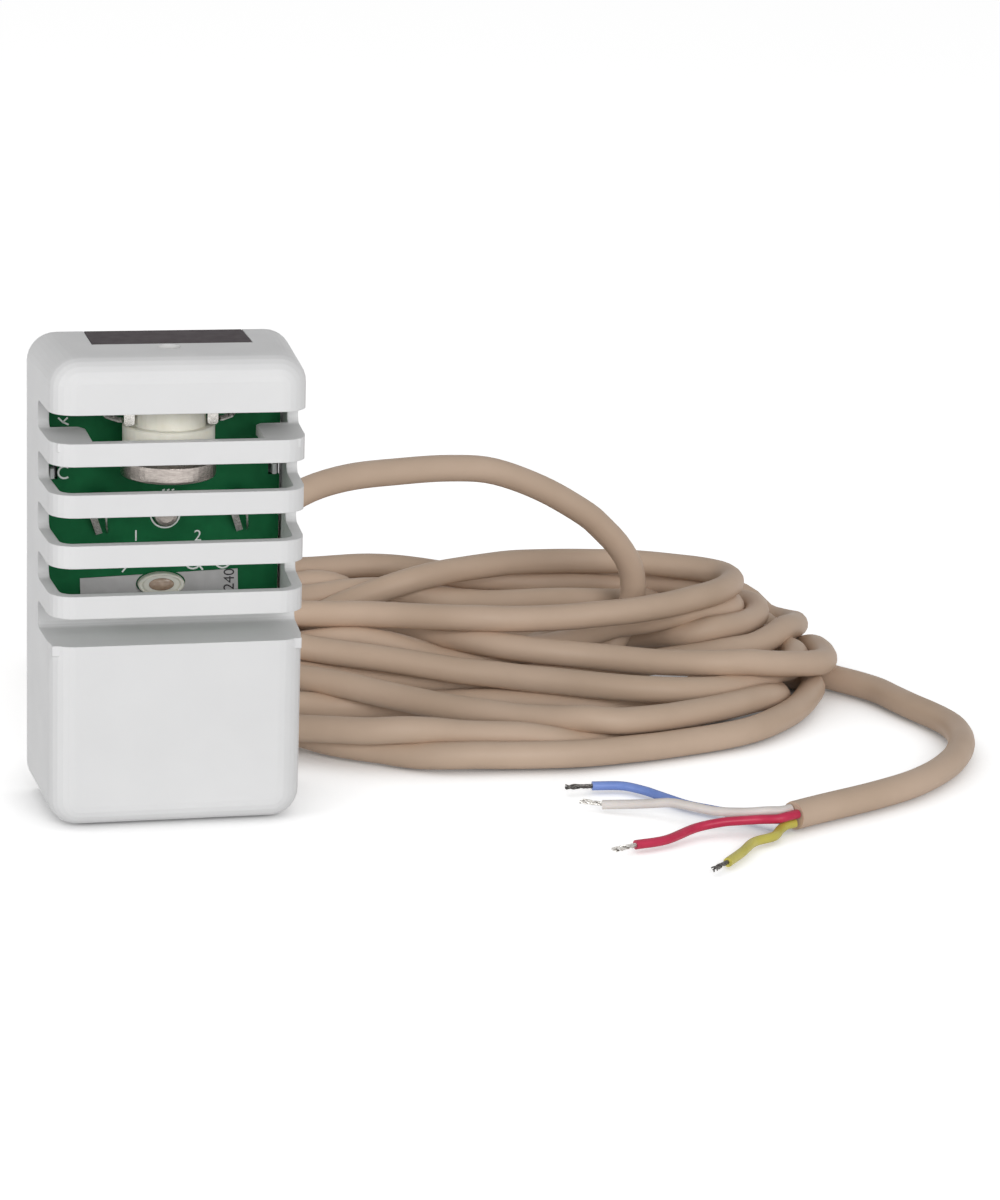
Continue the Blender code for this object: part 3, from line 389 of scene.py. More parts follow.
def tube(name: str, lines: Sequence[Sequence[Vector]], diameter: float, rounds: int) -> bpy.types.Curve:
    """Makes round tubes along lines.

    Args:
        name: the curve's name.
        lines: the centrelines, one for each tube, in metres.
        diameter: the tubes' diameter, in metres.
        rounds: how round they are, as the curve's bevel resolution.

    Returns:
        The curve.
    """
    curve = bpy.data.curves.new(name, "CURVE")
    curve.dimensions = "3D"
    curve.bevel_depth = diameter / 2
    curve.bevel_resolution = rounds
    curve.use_fill_caps = True
    for line in lines:
        spline = curve.splines.new("POLY")
        spline.points.add(len(line) - 1)
        for point, place in zip(spline.points, line):
            point.co = (*place, 1)
        spline.use_smooth = True
    return curve


@dataclass
class PhotoCamera:
    """The camera, at the photograph's place and angle."""

    place: Point = (-0.10143, -0.66141, 0.22971)
    right: Point = (0.9714, -0.2350, 0.0346)
    up: Point = (0.0310, 0.2699, 0.9624)
    back: Point = (-0.2355, -0.9338, 0.2695)
    lens: float = 108.6

    def build(self) -> None:
        """Makes the camera and sets it as the scene's own."""
        data = bpy.data.cameras.new("photo_camera")
        data.lens = self.lens
        data.sensor_width = 36
        data.clip_start = 0.01
        camera = bpy.data.objects.new("photo_camera", data)
        bpy.context.scene.collection.objects.link(camera)
        turn = Matrix((self.right, self.up, self.back)).transposed().to_4x4()
        camera.matrix_world = Matrix.Translation(self.place) @ turn
        bpy.context.scene.camera = camera
        log.info("placed the camera")


@dataclass
class Studio:
    """A pale floor, soft lamps and a white surround."""

    floor_size: float = 3.0
    floor_drop: float = 0.0004
    floor_colour: Colour = (0.86, 0.86, 0.86)
    surround: float = 0.28
    floor_glow: float = 0.72
    contact_reach: float = 0.022

    def build(self) -> None:
        """Makes the floor, the world and the lamps."""
        self.lay_floor()
        self.light_world()
        self.hang_lamp("front_lamp", (0.25, -1.3, 0.55), 0.7, 10.0)
        self.hang_lamp("side_lamp", (-1.15, -0.45, 0.3), 0.6, 4.4)
        bpy.context.scene.view_settings.view_transform = "Standard"
        log.info("lit the studio")

    def lay_floor(self) -> None:
        """Makes the floor, which shows nearly white to the camera and keeps the shadow; near the object its glow
        is dimmed by ambient occlusion as a painted contact shadow.
        """
        half = self.floor_size / 2
        mesh = bpy.data.meshes.new("floor")
        corners = [(-half, -half, 0), (half, -half, 0), (half, half, 0), (-half, half, 0)]
        mesh.from_pydata([(x, y, -self.floor_drop) for x, y, _ in corners], [], [(0, 1, 2, 3)])
        floor = bpy.data.objects.new("floor", mesh)
        bpy.context.scene.collection.objects.link(floor)
        paint = bpy.data.materials.new("pale floor")
        paint.use_nodes = True
        tree = paint.node_tree
        tree.nodes.clear()
        matt = tree.nodes.new("ShaderNodeBsdfDiffuse")
        matt.inputs["Color"].default_value = (*self.floor_colour, 1)
        glow = tree.nodes.new("ShaderNodeEmission")
        # Ambient occlusion dims the floor's glow near the object: a painted contact shadow over the real one.
        painted_contact_shadow = tree.nodes.new("ShaderNodeAmbientOcclusion")
        painted_contact_shadow.samples = 4
        painted_contact_shadow.inputs["Distance"].default_value = self.contact_reach
        level = tree.nodes.new("ShaderNodeMath")
        level.operation = "MULTIPLY"
        level.inputs[1].default_value = self.floor_glow
        tree.links.new(painted_contact_shadow.outputs["AO"], level.inputs[0])
        tree.links.new(level.outputs["Value"], glow.inputs["Strength"])
        seen = self.seen_by_eye(tree)
        none = tree.nodes.new("ShaderNodeEmission")
        none.inputs["Strength"].default_value = 0
        choose = tree.nodes.new("ShaderNodeMixShader")
        both = tree.nodes.new("ShaderNodeAddShader")
        out = tree.nodes.new("ShaderNodeOutputMaterial")
        tree.links.new(seen, choose.inputs["Fac"])
        tree.links.new(none.outputs["Emission"], choose.inputs[1])
        tree.links.new(glow.outputs["Emission"], choose.inputs[2])
        tree.links.new(matt.outputs["BSDF"], both.inputs[0])
        tree.links.new(choose.outputs["Shader"], both.inputs[1])
        tree.links.new(both.outputs["Shader"], out.inputs["Surface"])
        mesh.materials.append(paint)

    def seen_by_eye(self, tree: bpy.types.NodeTree) -> bpy.types.NodeSocket:
        """Finds the rays that show the surround: straight, mirrored or through glass.

        Args:
            tree: the nodes to add to.

        Returns:
            A socket that is 1 for those rays.
        """
        path = tree.nodes.new("ShaderNodeLightPath")
        first = tree.nodes.new("ShaderNodeMath")
        first.operation = "MAXIMUM"
        second = tree.nodes.new("ShaderNodeMath")
        second.operation = "MAXIMUM"
        tree.links.new(path.outputs["Is Camera Ray"], first.inputs[0])
        tree.links.new(path.outputs["Is Glossy Ray"], first.inputs[1])
        tree.links.new(first.outputs["Value"], second.inputs[0])
        tree.links.new(path.outputs["Is Transmission Ray"], second.inputs[1])
        return second.outputs["Value"]

    def light_world(self) -> None:
        """Makes the surround white to the eye and a plain soft light to the surfaces."""
        world = bpy.data.worlds.new("studio")
        world.use_nodes = True
        tree = world.node_tree
        tree.nodes.clear()
        soft = tree.nodes.new("ShaderNodeBackground")
        soft.inputs["Strength"].default_value = self.surround
        white = tree.nodes.new("ShaderNodeBackground")
        white.inputs["Color"].default_value = (1, 1, 1, 1)
        white.inputs["Strength"].default_value = 1
        soft.inputs["Color"].default_value = (1, 1, 1, 1)
        choose = tree.nodes.new("ShaderNodeMixShader")
        out = tree.nodes.new("ShaderNodeOutputWorld")
        tree.links.new(self.seen_by_eye(tree), choose.inputs["Fac"])
        tree.links.new(soft.outputs["Background"], choose.inputs[1])
        tree.links.new(white.outputs["Background"], choose.inputs[2])
        tree.links.new(choose.outputs["Shader"], out.inputs["Surface"])
        bpy.context.scene.world = world

    def hang_lamp(self, name: str, place: Point, size: float, power: float) -> None:
        """Hangs a soft lamp that faces the object.

        Args:
            name: its name.
            place: where it hangs, in metres.
            size: the side of its face, in metres.
            power: its power in watts.
        """
        data = bpy.data.lights.new(name, "AREA")
        data.size = size
        data.energy = power
        lamp = bpy.data.objects.new(name, data)
        bpy.context.scene.collection.objects.link(lamp)
        lamp.location = place
        aim = Vector(LAMP_AIM) - Vector(place)
        lamp.rotation_euler = aim.to_track_quat("-Z", "Y").to_euler()


@dataclass
class Cable:
    """The one free cable: out of the housing's back, over in an arc, round the coil and out to its end."""

    diameter: float = 5.6
    spacing: float = 2.4
    run: Sequence[Point] = (
        (8.0, 5.4, 27.0), (8.0, 10.0, 27.0), (8.0, 16.5, 27.0), (8.7, 22.0, 28.2), (11.4, 26.8, 31.6),
        (16.0, 31.2, 38.3), (23.5, 35.0, 46.4), (32.6, 38.6, 51.5), (43.0, 43.8, 53.2), (55.5, 49.5, 52.9),
        (67.3, 54.5, 52.1), (77.6, 58.3, 50.3), (89.4, 62.4, 45.2),
    )
    wound: Sequence[Point] = (
        (100.2, 66.3, 38.5), (104.9, 68.3, 34.4), (109.2, 70.0, 29.9), (112.5, 71.5, 24.6), (113.5, 72.1, 18.3),
        (111.5, 71.4, 12.3), (108.0, 69.9, 7.2), (103.1, 67.8, 3.7), (97.2, 65.5, 2.8), (90.9, 63.6, 3.0),
        (84.6, 62.2, 3.2), (78.2, 61.4, 4.0), (71.8, 61.1, 4.7), (65.3, 61.4, 4.8), (58.8, 61.8, 4.1),
        (52.4, 62.5, 3.2), (46.3, 64.4, 3.2), (41.4, 68.3, 4.2), (38.8, 74.0, 5.5), (38.6, 80.4, 6.3),
        (40.5, 86.5, 6.8), (44.6, 90.9, 8.5), (50.2, 92.9, 11.0), (56.2, 92.9, 13.4), (62.3, 92.6, 15.6),
        (68.5, 93.2, 17.2), (74.7, 95.1, 18.0), (80.8, 97.3, 18.2), (86.9, 99.4, 18.3), (93.1, 101.4, 18.3),
        (99.5, 102.4, 18.1), (106.0, 102.5, 18.0), (112.4, 101.6, 18.0), (118.5, 99.4, 18.3), (124.0, 96.1, 18.6),
        (129.1, 92.0, 18.9), (133.6, 87.4, 19.3), (137.1, 82.0, 19.5), (137.2, 75.8, 19.6), (134.1, 70.1, 19.9),
        (129.9, 65.3, 20.1), (124.8, 61.3, 20.3), (119.0, 58.4, 20.0), (113.0, 55.9, 19.9), (106.8, 54.1, 19.8),
        (100.3, 53.1, 19.7), (93.8, 52.7, 19.4), (87.4, 52.3, 19.4), (80.9, 51.9, 19.6), (74.4, 52.3, 19.9),
        (68.3, 54.4, 19.6), (62.6, 57.4, 19.2), (57.0, 60.6, 18.8), (51.2, 63.5, 18.4), (45.2, 66.0, 17.9),
        (39.0, 67.9, 17.7), (32.6, 68.9, 18.0), (26.3, 69.7, 19.2), (20.1, 71.4, 19.7), (14.9, 74.7, 18.3),
        (11.2, 79.7, 16.7), (9.8, 85.9, 16.0), (10.5, 92.3, 16.0), (13.2, 98.1, 16.6), (17.7, 102.5, 17.5),
        (23.5, 105.5, 18.0), (29.6, 107.6, 18.2), (35.8, 109.0, 17.1), (42.1, 110.1, 15.9), (48.4, 111.3, 15.4),
        (54.8, 112.5, 15.3), (61.3, 113.2, 15.3), (67.8, 113.0, 15.0), (74.1, 111.9, 14.4), (80.3, 110.0, 13.7),
        (86.4, 108.0, 13.1), (92.7, 106.3, 12.8), (99.1, 105.0, 12.6), (105.5, 103.9, 12.6), (111.9, 103.1, 12.5),
        (118.4, 102.9, 12.0), (124.5, 101.3, 12.5), (128.6, 96.7, 13.2), (132.0, 91.2, 13.7), (135.3, 85.5, 13.8),
        (137.7, 79.6, 13.8), (136.7, 73.6, 14.2), (132.1, 69.2, 14.7), (126.6, 65.9, 15.4), (120.8, 63.5, 16.0),
        (114.8, 64.1, 14.6), (109.0, 66.4, 13.3), (102.8, 66.1, 11.8), (97.2, 63.1, 11.1), (92.4, 58.8, 11.4),
        (86.9, 55.5, 11.8), (80.6, 54.5, 11.1), (74.4, 55.4, 9.5), (68.1, 56.9, 9.3), (62.2, 58.5, 11.1),
        (56.1, 60.1, 12.6), (49.9, 62.2, 13.1), (44.0, 64.6, 12.4), (38.1, 67.1, 11.0), (32.0, 68.8, 9.8),
        (25.8, 70.6, 9.4), (20.6, 74.1, 9.8), (17.8, 79.3, 11.9), (17.5, 85.1, 14.5), (19.5, 91.0, 16.0),
        (23.7, 95.7, 16.6), (29.5, 98.2, 16.3), (35.4, 98.6, 13.9), (41.5, 97.8, 12.4), (48.0, 98.1, 12.8),
        (54.4, 98.5, 13.5), (60.9, 98.2, 13.8), (67.3, 97.2, 13.5), (73.6, 96.5, 12.3), (79.9, 94.9, 11.6),
        (85.6, 92.0, 11.8), (91.1, 88.7, 12.7), (96.7, 85.5, 13.7), (102.9, 83.7, 14.1), (109.3, 83.8, 13.7),
        (115.1, 86.1, 12.9), (119.6, 90.6, 12.2), (125.2, 92.3, 9.8), (131.2, 91.7, 8.5), (137.0, 89.6, 10.0),
        (141.2, 85.3, 12.1), (143.6, 79.6, 12.9), (142.6, 73.5, 12.5), (138.8, 68.4, 12.3), (134.1, 64.3, 12.8),
        (128.5, 61.2, 13.2), (123.0, 62.1, 11.6), (119.4, 67.0, 10.6), (116.0, 72.3, 9.1), (111.3, 76.1, 7.9),
        (104.9, 76.4, 8.3), (98.8, 74.4, 8.6), (93.5, 70.8, 8.7), (89.2, 66.0, 8.7), (85.6, 60.6, 8.1),
        (81.4, 56.3, 6.0), (75.8, 53.6, 4.5), (69.4, 53.2, 4.7), (63.3, 54.8, 5.8), (57.4, 57.3, 7.2),
        (51.4, 59.6, 7.9), (45.2, 61.4, 7.7), (39.2, 63.3, 6.3), (33.9, 66.7, 4.7), (29.9, 71.7, 4.3),
        (27.6, 77.5, 5.2), (27.4, 83.8, 6.6), (30.2, 89.2, 8.1), (35.2, 93.2, 8.6), (40.7, 96.1, 7.3),
        (47.0, 97.3, 7.1), (53.5, 97.5, 8.0), (59.9, 97.0, 8.3), (66.2, 98.0, 8.3), (72.1, 100.8, 8.2),
        (78.2, 102.7, 7.9), (84.7, 103.1, 7.7), (91.2, 102.9, 7.7), (97.7, 102.3, 7.7), (104.1, 101.3, 7.8),
        (110.3, 99.7, 8.2), (116.6, 98.2, 9.1), (123.0, 97.6, 8.7), (129.3, 97.6, 8.0), (134.9, 96.1, 10.7),
        (140.5, 94.1, 12.7), (146.1, 92.1, 11.0), (149.8, 88.4, 7.7), (152.9, 82.9, 7.7), (153.1, 77.2, 8.9),
        (150.5, 71.5, 10.0), (146.8, 66.6, 11.1), (142.5, 62.1, 10.6), (137.2, 58.5, 9.8), (130.8, 57.3, 9.3),
        (124.4, 56.9, 8.5), (118.0, 56.4, 8.0), (111.8, 54.4, 7.9), (105.8, 51.9, 8.0), (99.5, 50.0, 8.0),
        (93.2, 48.8, 8.0), (86.7, 48.2, 7.9), (80.2, 47.9, 7.8), (73.7, 48.0, 7.7), (67.2, 48.5, 7.6),
        (60.9, 49.7, 7.5), (54.6, 51.6, 7.3), (48.5, 53.8, 7.2), (42.4, 56.1, 7.1), (36.5, 58.6, 7.1),
        (31.0, 62.1, 6.4), (26.6, 66.6, 4.9), (23.0, 71.8, 3.9), (20.2, 77.4, 5.2), (18.7, 83.1, 7.7),
        (18.6, 89.1, 10.1), (20.0, 95.1, 10.1), (23.8, 99.5, 7.7), (27.9, 104.3, 7.2), (31.5, 109.0, 9.4),
        (36.6, 112.2, 11.0), (42.8, 113.0, 10.0), (49.1, 112.9, 8.6), (55.6, 113.3, 8.0), (62.0, 114.0, 7.8),
        (68.5, 114.3, 7.7), (75.0, 114.4, 7.6), (81.5, 114.4, 7.6), (88.0, 114.1, 7.6), (94.5, 113.8, 7.7),
        (101.0, 113.1, 7.8), (107.4, 112.2, 7.9), (113.7, 110.8, 7.8), (120.0, 109.1, 7.6), (126.0, 106.7, 7.7),
        (131.8, 103.7, 7.8), (137.1, 100.0, 7.8), (140.7, 94.7, 7.6), (143.4, 88.8, 7.6), (146.5, 83.2, 8.1),
        (150.0, 78.7, 5.6), (152.6, 73.6, 4.3), (153.4, 67.6, 6.3), (153.0, 61.4, 7.7), (152.3, 55.0, 8.1),
        (150.2, 49.0, 8.6), (145.7, 44.7, 9.6), (140.2, 41.3, 10.7), (134.4, 38.6, 11.8), (128.4, 36.7, 12.9),
        (121.9, 36.4, 13.0), (115.6, 38.1, 12.8), (109.6, 40.5, 12.5), (103.7, 43.0, 12.6), (97.5, 45.0, 12.9),
        (91.1, 46.3, 13.4), (84.8, 47.7, 13.9), (78.7, 50.0, 14.3), (73.5, 53.8, 14.5), (69.4, 58.7, 14.2),
        (65.5, 63.8, 13.3), (61.7, 69.0, 12.7), (58.0, 74.4, 11.9), (54.3, 79.6, 11.2), (49.7, 84.0, 10.7),
        (43.7, 85.9, 11.5), (37.3, 85.5, 12.7), (31.5, 83.3, 13.2), (27.2, 78.6, 13.9), (23.1, 73.7, 14.6),
        (17.4, 71.3, 13.9), (11.3, 72.4, 13.3), (6.2, 76.1, 13.8), (2.3, 81.2, 14.4), (0.4, 87.2, 13.9),
        (2.4, 92.9, 12.6), (7.0, 97.2, 11.6), (12.8, 99.9, 11.4), (19.1, 101.0, 12.4), (25.4, 100.6, 12.3),
        (31.5, 101.0, 10.2), (37.7, 101.8, 8.7), (44.1, 102.2, 9.0), (50.1, 104.1, 9.0), (55.7, 107.2, 8.1),
        (62.1, 108.4, 7.8), (68.6, 108.5, 7.7), (75.1, 108.6, 7.6), (81.6, 108.7, 7.6), (88.1, 108.6, 7.6),
        (94.6, 108.2, 7.7), (101.0, 107.4, 7.8), (107.4, 106.1, 7.7), (113.5, 104.2, 7.0), (119.2, 101.6, 5.4),
        (124.4, 98.3, 3.3), (129.4, 94.3, 2.8), (133.7, 89.7, 3.7), (137.1, 85.1, 6.7), (140.9, 80.3, 8.1),
        (143.7, 74.6, 7.4), (145.5, 68.3, 6.8), (147.2, 62.3, 7.3), (146.4, 56.2, 7.8), (143.2, 50.8, 6.9),
        (138.9, 46.3, 7.9), (133.8, 42.3, 7.4), (128.8, 38.1, 7.5), (123.7, 34.3, 8.0), (117.9, 31.5, 8.7),
        (111.6, 30.2, 9.3), (105.1, 30.5, 9.7), (98.9, 32.2, 9.9), (92.8, 34.4, 10.1), (86.7, 36.8, 10.3),
        (80.7, 39.1, 10.5), (74.5, 41.3, 10.9), (68.3, 43.0, 11.3), (62.1, 44.9, 12.0), (56.1, 47.2, 12.6),
        (50.2, 50.1, 12.9), (44.8, 53.6, 12.9), (40.0, 57.9, 12.7), (35.2, 62.4, 12.5), (29.2, 64.4, 11.9),
        (23.0, 65.0, 10.2), (16.7, 64.7, 8.8), (10.5, 66.0, 8.8), (5.4, 69.8, 9.5), (2.1, 75.2, 9.8),
        (0.5, 81.5, 9.3), (1.4, 87.7, 8.4), (5.2, 92.7, 7.3), (9.4, 97.5, 5.9), (13.5, 102.2, 4.1),
        (18.8, 105.4, 2.9), (25.0, 107.0, 2.8), (31.2, 108.4, 3.5), (36.7, 108.7, 6.5), (42.6, 107.6, 7.6),
        (48.2, 106.4, 4.8), (54.3, 105.8, 2.9), (60.7, 106.0, 2.8), (67.2, 106.2, 2.8), (73.7, 106.0, 2.8),
        (80.2, 105.9, 2.8), (86.7, 105.7, 2.8), (93.2, 105.2, 2.8), (99.7, 104.4, 2.8), (106.0, 103.2, 2.8),
        (112.1, 100.9, 2.8), (117.3, 97.1, 2.8), (122.4, 93.1, 2.8), (127.3, 88.8, 2.8), (131.8, 84.1, 3.1),
        (135.3, 79.2, 5.1), (137.1, 73.3, 6.8), (138.1, 66.9, 6.7), (138.8, 60.7, 4.9), (138.9, 54.4, 3.3),
        (138.7, 48.0, 2.8), (137.9, 41.7, 3.4), (134.6, 36.6, 5.1), (129.8, 32.3, 6.0), (124.6, 28.5, 6.4),
        (119.1, 25.0, 6.7), (113.3, 22.2, 6.9), (107.3, 19.6, 7.1), (101.2, 17.4, 7.4), (94.9, 16.0, 7.7),
        (88.7, 17.2, 8.1), (83.1, 20.3, 7.3), (77.4, 23.3, 6.9), (71.5, 26.1, 7.1), (65.6, 28.8, 7.4),
        (59.9, 31.9, 7.8), (54.5, 35.5, 8.2), (49.2, 39.2, 8.6), (43.7, 42.7, 9.2), (38.7, 46.7, 9.2),
        (34.6, 51.7, 8.6), (29.5, 55.3, 7.9), (23.2, 55.9, 7.1), (16.8, 55.1, 7.1), (10.5, 55.9, 7.8),
        (5.3, 59.4, 8.4), (1.5, 64.6, 8.2), (-0.5, 70.5, 6.6), (0.1, 76.5, 4.6), (2.9, 82.1, 4.5),
        (6.9, 86.5, 6.9), (12.0, 90.0, 7.8), (17.7, 91.9, 5.8), (23.6, 93.2, 6.9), (29.2, 95.7, 7.6),
        (34.5, 98.0, 5.0), (40.3, 100.1, 3.1), (46.6, 100.9, 2.8), (53.0, 99.9, 2.8), (59.2, 97.8, 2.8),
        (65.2, 95.6, 2.8), (71.7, 95.1, 2.8), (78.2, 95.1, 2.8), (84.7, 94.9, 2.8), (91.2, 94.4, 2.8),
        (97.6, 93.5, 2.8), (104.0, 92.3, 2.8), (110.1, 90.1, 2.8), (116.0, 87.5, 2.8), (121.9, 84.8, 2.8),
        (127.2, 81.0, 2.8), (131.4, 76.1, 2.8), (133.9, 70.2, 2.8), (134.0, 63.7, 2.8), (133.2, 57.4, 3.8),
        (131.0, 52.0, 6.5), (126.6, 47.8, 8.1), (121.6, 44.2, 6.6), (116.5, 40.9, 4.4), (110.7, 38.2, 3.4),
        (104.4, 36.6, 3.6), (98.0, 36.0, 4.3), (91.6, 36.7, 4.7), (85.3, 38.3, 4.9), (79.0, 40.0, 4.9),
        (72.6, 41.3, 4.9), (66.2, 42.3, 4.6), (59.8, 43.1, 4.3), (53.3, 44.0, 4.1), (46.9, 44.6, 4.1),
        (40.4, 44.4, 4.2), (34.2, 43.1, 5.2), (27.9, 41.4, 5.7), (21.5, 41.5, 5.1), (15.5, 43.5, 4.4),
        (10.6, 47.6, 3.7), (7.9, 53.3, 3.0), (7.1, 59.7, 2.8), (8.0, 66.1, 2.8), (10.0, 72.3, 2.8),
        (12.9, 78.1, 2.8), (16.2, 83.7, 2.8), (21.4, 87.4, 2.8), (26.1, 91.4, 2.8), (28.0, 97.5, 2.8),
        (32.0, 102.3, 2.8), (37.6, 105.4, 2.8), (42.7, 109.4, 2.8), (48.6, 111.3, 2.8), (55.1, 111.3, 2.8),
        (61.6, 111.5, 2.8), (68.1, 111.6, 2.8), (74.6, 111.6, 2.8), (81.1, 111.5, 2.8), (87.6, 111.2, 2.8),
        (94.1, 110.6, 2.8), (100.5, 109.7, 2.8), (106.9, 108.6, 2.8), (113.4, 107.6, 2.8), (119.7, 106.4, 2.8),
        (125.7, 103.8, 2.8), (130.9, 100.1, 2.8), (135.7, 95.7, 2.8), (139.4, 90.5, 2.8), (140.5, 84.2, 2.8),
        (140.5, 77.7, 2.8), (141.3, 71.3, 2.8), (142.7, 65.0, 2.8), (145.7, 59.2, 2.8), (148.4, 53.6, 2.8),
        (147.5, 47.3, 3.2), (144.6, 41.6, 3.4), (141.2, 36.0, 3.3), (137.2, 30.9, 3.2), (132.5, 26.4, 3.1),
        (127.4, 22.3, 3.0), (121.7, 19.3, 2.9), (115.6, 17.2, 2.8), (109.3, 15.3, 2.8), (103.1, 13.6, 2.8),
        (96.7, 12.1, 2.9), (90.4, 10.8, 3.0), (83.9, 10.0, 3.1), (77.4, 10.3, 3.1), (71.0, 10.8, 3.1),
        (64.5, 11.2, 3.3), (58.1, 12.0, 3.2), (52.2, 14.5, 2.8), (46.7, 18.0, 2.9), (41.2, 21.5, 2.9),
        (36.2, 25.7, 2.9), (31.8, 30.4, 3.1), (26.3, 33.7, 3.0), (20.0, 34.6, 2.8), (13.6, 35.7, 2.8),
        (8.2, 39.1, 2.8), (4.6, 44.4, 2.8), (2.5, 50.5, 2.8), (1.6, 57.0, 2.8), (1.8, 63.4, 2.8),
        (3.4, 69.7, 2.8), (5.6, 75.8, 2.8), (8.5, 81.6, 2.8), (10.4, 87.7, 2.8), (12.4, 93.7, 3.0),
        (16.6, 98.1, 4.5), (20.1, 102.7, 7.4), (24.6, 105.4, 10.9), (30.4, 105.5, 13.1), (36.8, 105.3, 13.1),
        (43.3, 105.3, 13.4), (49.7, 105.0, 14.1), (55.7, 103.9, 12.5), (60.1, 102.4, 8.2), (65.0, 101.1, 4.2),
        (71.2, 100.7, 2.9), (77.7, 100.5, 2.8), (84.2, 100.4, 2.8), (90.7, 100.0, 2.8), (97.2, 99.2, 2.8),
        (103.5, 98.1, 2.9), (109.6, 96.1, 4.0), (115.1, 93.0, 5.6), (120.5, 89.7, 6.7), (125.1, 85.3, 7.8),
        (127.5, 79.4, 8.1), (128.5, 73.3, 6.5), (128.7, 67.3, 4.1), (128.1, 60.9, 2.9), (127.4, 54.5, 2.8),
        (126.8, 48.0, 2.8), (124.8, 41.9, 2.8), (120.8, 36.8, 2.8), (116.0, 32.5, 2.9), (110.7, 28.7, 3.0),
        (105.1, 25.3, 3.2), (99.4, 22.3, 3.2), (93.6, 19.2, 3.0), (87.8, 16.6, 2.9), (81.7, 15.7, 4.3),
        (75.3, 16.2, 5.4), (68.8, 16.7, 5.7), (62.4, 16.4, 6.3), (56.0, 15.6, 7.4), (49.8, 14.8, 8.1),
        (43.5, 16.4, 7.6), (37.9, 19.5, 7.1), (32.4, 22.9, 6.5), (26.7, 26.0, 5.9), (20.5, 27.8, 5.2),
        (14.2, 29.0, 4.7), (8.2, 31.5, 4.4), (3.5, 35.8, 4.1), (0.0, 41.3, 3.8), (-2.3, 47.3, 3.4),
        (-3.7, 53.6, 3.0), (-4.2, 60.1, 2.8), (-4.8, 66.6, 2.8), (-5.4, 73.0, 2.8), (-4.5, 79.4, 2.8),
        (-1.9, 85.3, 2.8), (1.1, 91.1, 2.8), (4.1, 96.9, 2.8), (7.2, 102.6, 2.8), (11.3, 107.6, 2.8),
        (16.9, 110.6, 2.8), (23.1, 112.2, 2.8), (29.5, 113.7, 2.8), (35.9, 114.6, 2.8), (42.3, 115.8, 2.8),
        (48.7, 116.9, 2.8), (55.1, 116.9, 2.8), (61.7, 117.0, 2.8), (68.2, 117.0, 2.8), (74.7, 117.0, 2.8),
        (81.2, 116.9, 2.8), (87.7, 116.7, 2.8), (94.1, 116.1, 2.8), (100.6, 115.2, 2.8), (107.0, 114.1, 2.8),
        (113.4, 113.1, 2.8), (119.8, 112.0, 2.8), (125.9, 109.9, 2.8), (131.4, 106.6, 2.8), (136.7, 102.7, 2.8),
        (141.4, 98.2, 2.8), (144.7, 92.7, 2.8), (145.9, 86.4, 2.8), (145.8, 79.9, 2.8), (147.1, 73.7, 2.8),
        (149.4, 67.6, 2.8), (151.5, 61.5, 2.8), (154.7, 55.8, 2.8), (158.5, 50.6, 2.8), (161.7, 45.0, 2.8),
        (163.4, 38.7, 2.8), (165.2, 32.5, 2.8), (167.3, 26.3, 2.8), (168.7, 20.0, 2.8), (168.4, 13.6, 2.8),
        (166.7, 7.3, 2.8), (163.9, 1.5, 2.8), (160.4, -3.9, 2.8), (156.2, -8.9, 2.8), (151.5, -13.4, 2.8),
        (146.4, -17.4, 2.8), (140.8, -20.7, 2.8), (135.0, -23.7, 2.8), (129.1, -26.4, 2.8), (123.2, -29.1, 2.8),
        (117.4, -32.0, 2.8),
    )

    def line(self) -> list[Vector]:
        """The cable's whole centreline, in metres."""
        return spun(metres([*self.run, *self.wound]), self.spacing * MM)

    def build(self, wires: Sequence[bpy.types.Object]) -> bpy.types.Object:
        """Args:
            wires: the pieces at its stripped end. It is not used.

        Returns:
            The cable.
        """
        line = self.line()
        cable = add_piece("cable", tube("cable", [line], self.diameter * MM, 6), JACKET)
        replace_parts(cable, "cable_run", "cable_coil", "cable_tail")
        log.info("the cable is %.2f m long", length_of(line))
        return cable


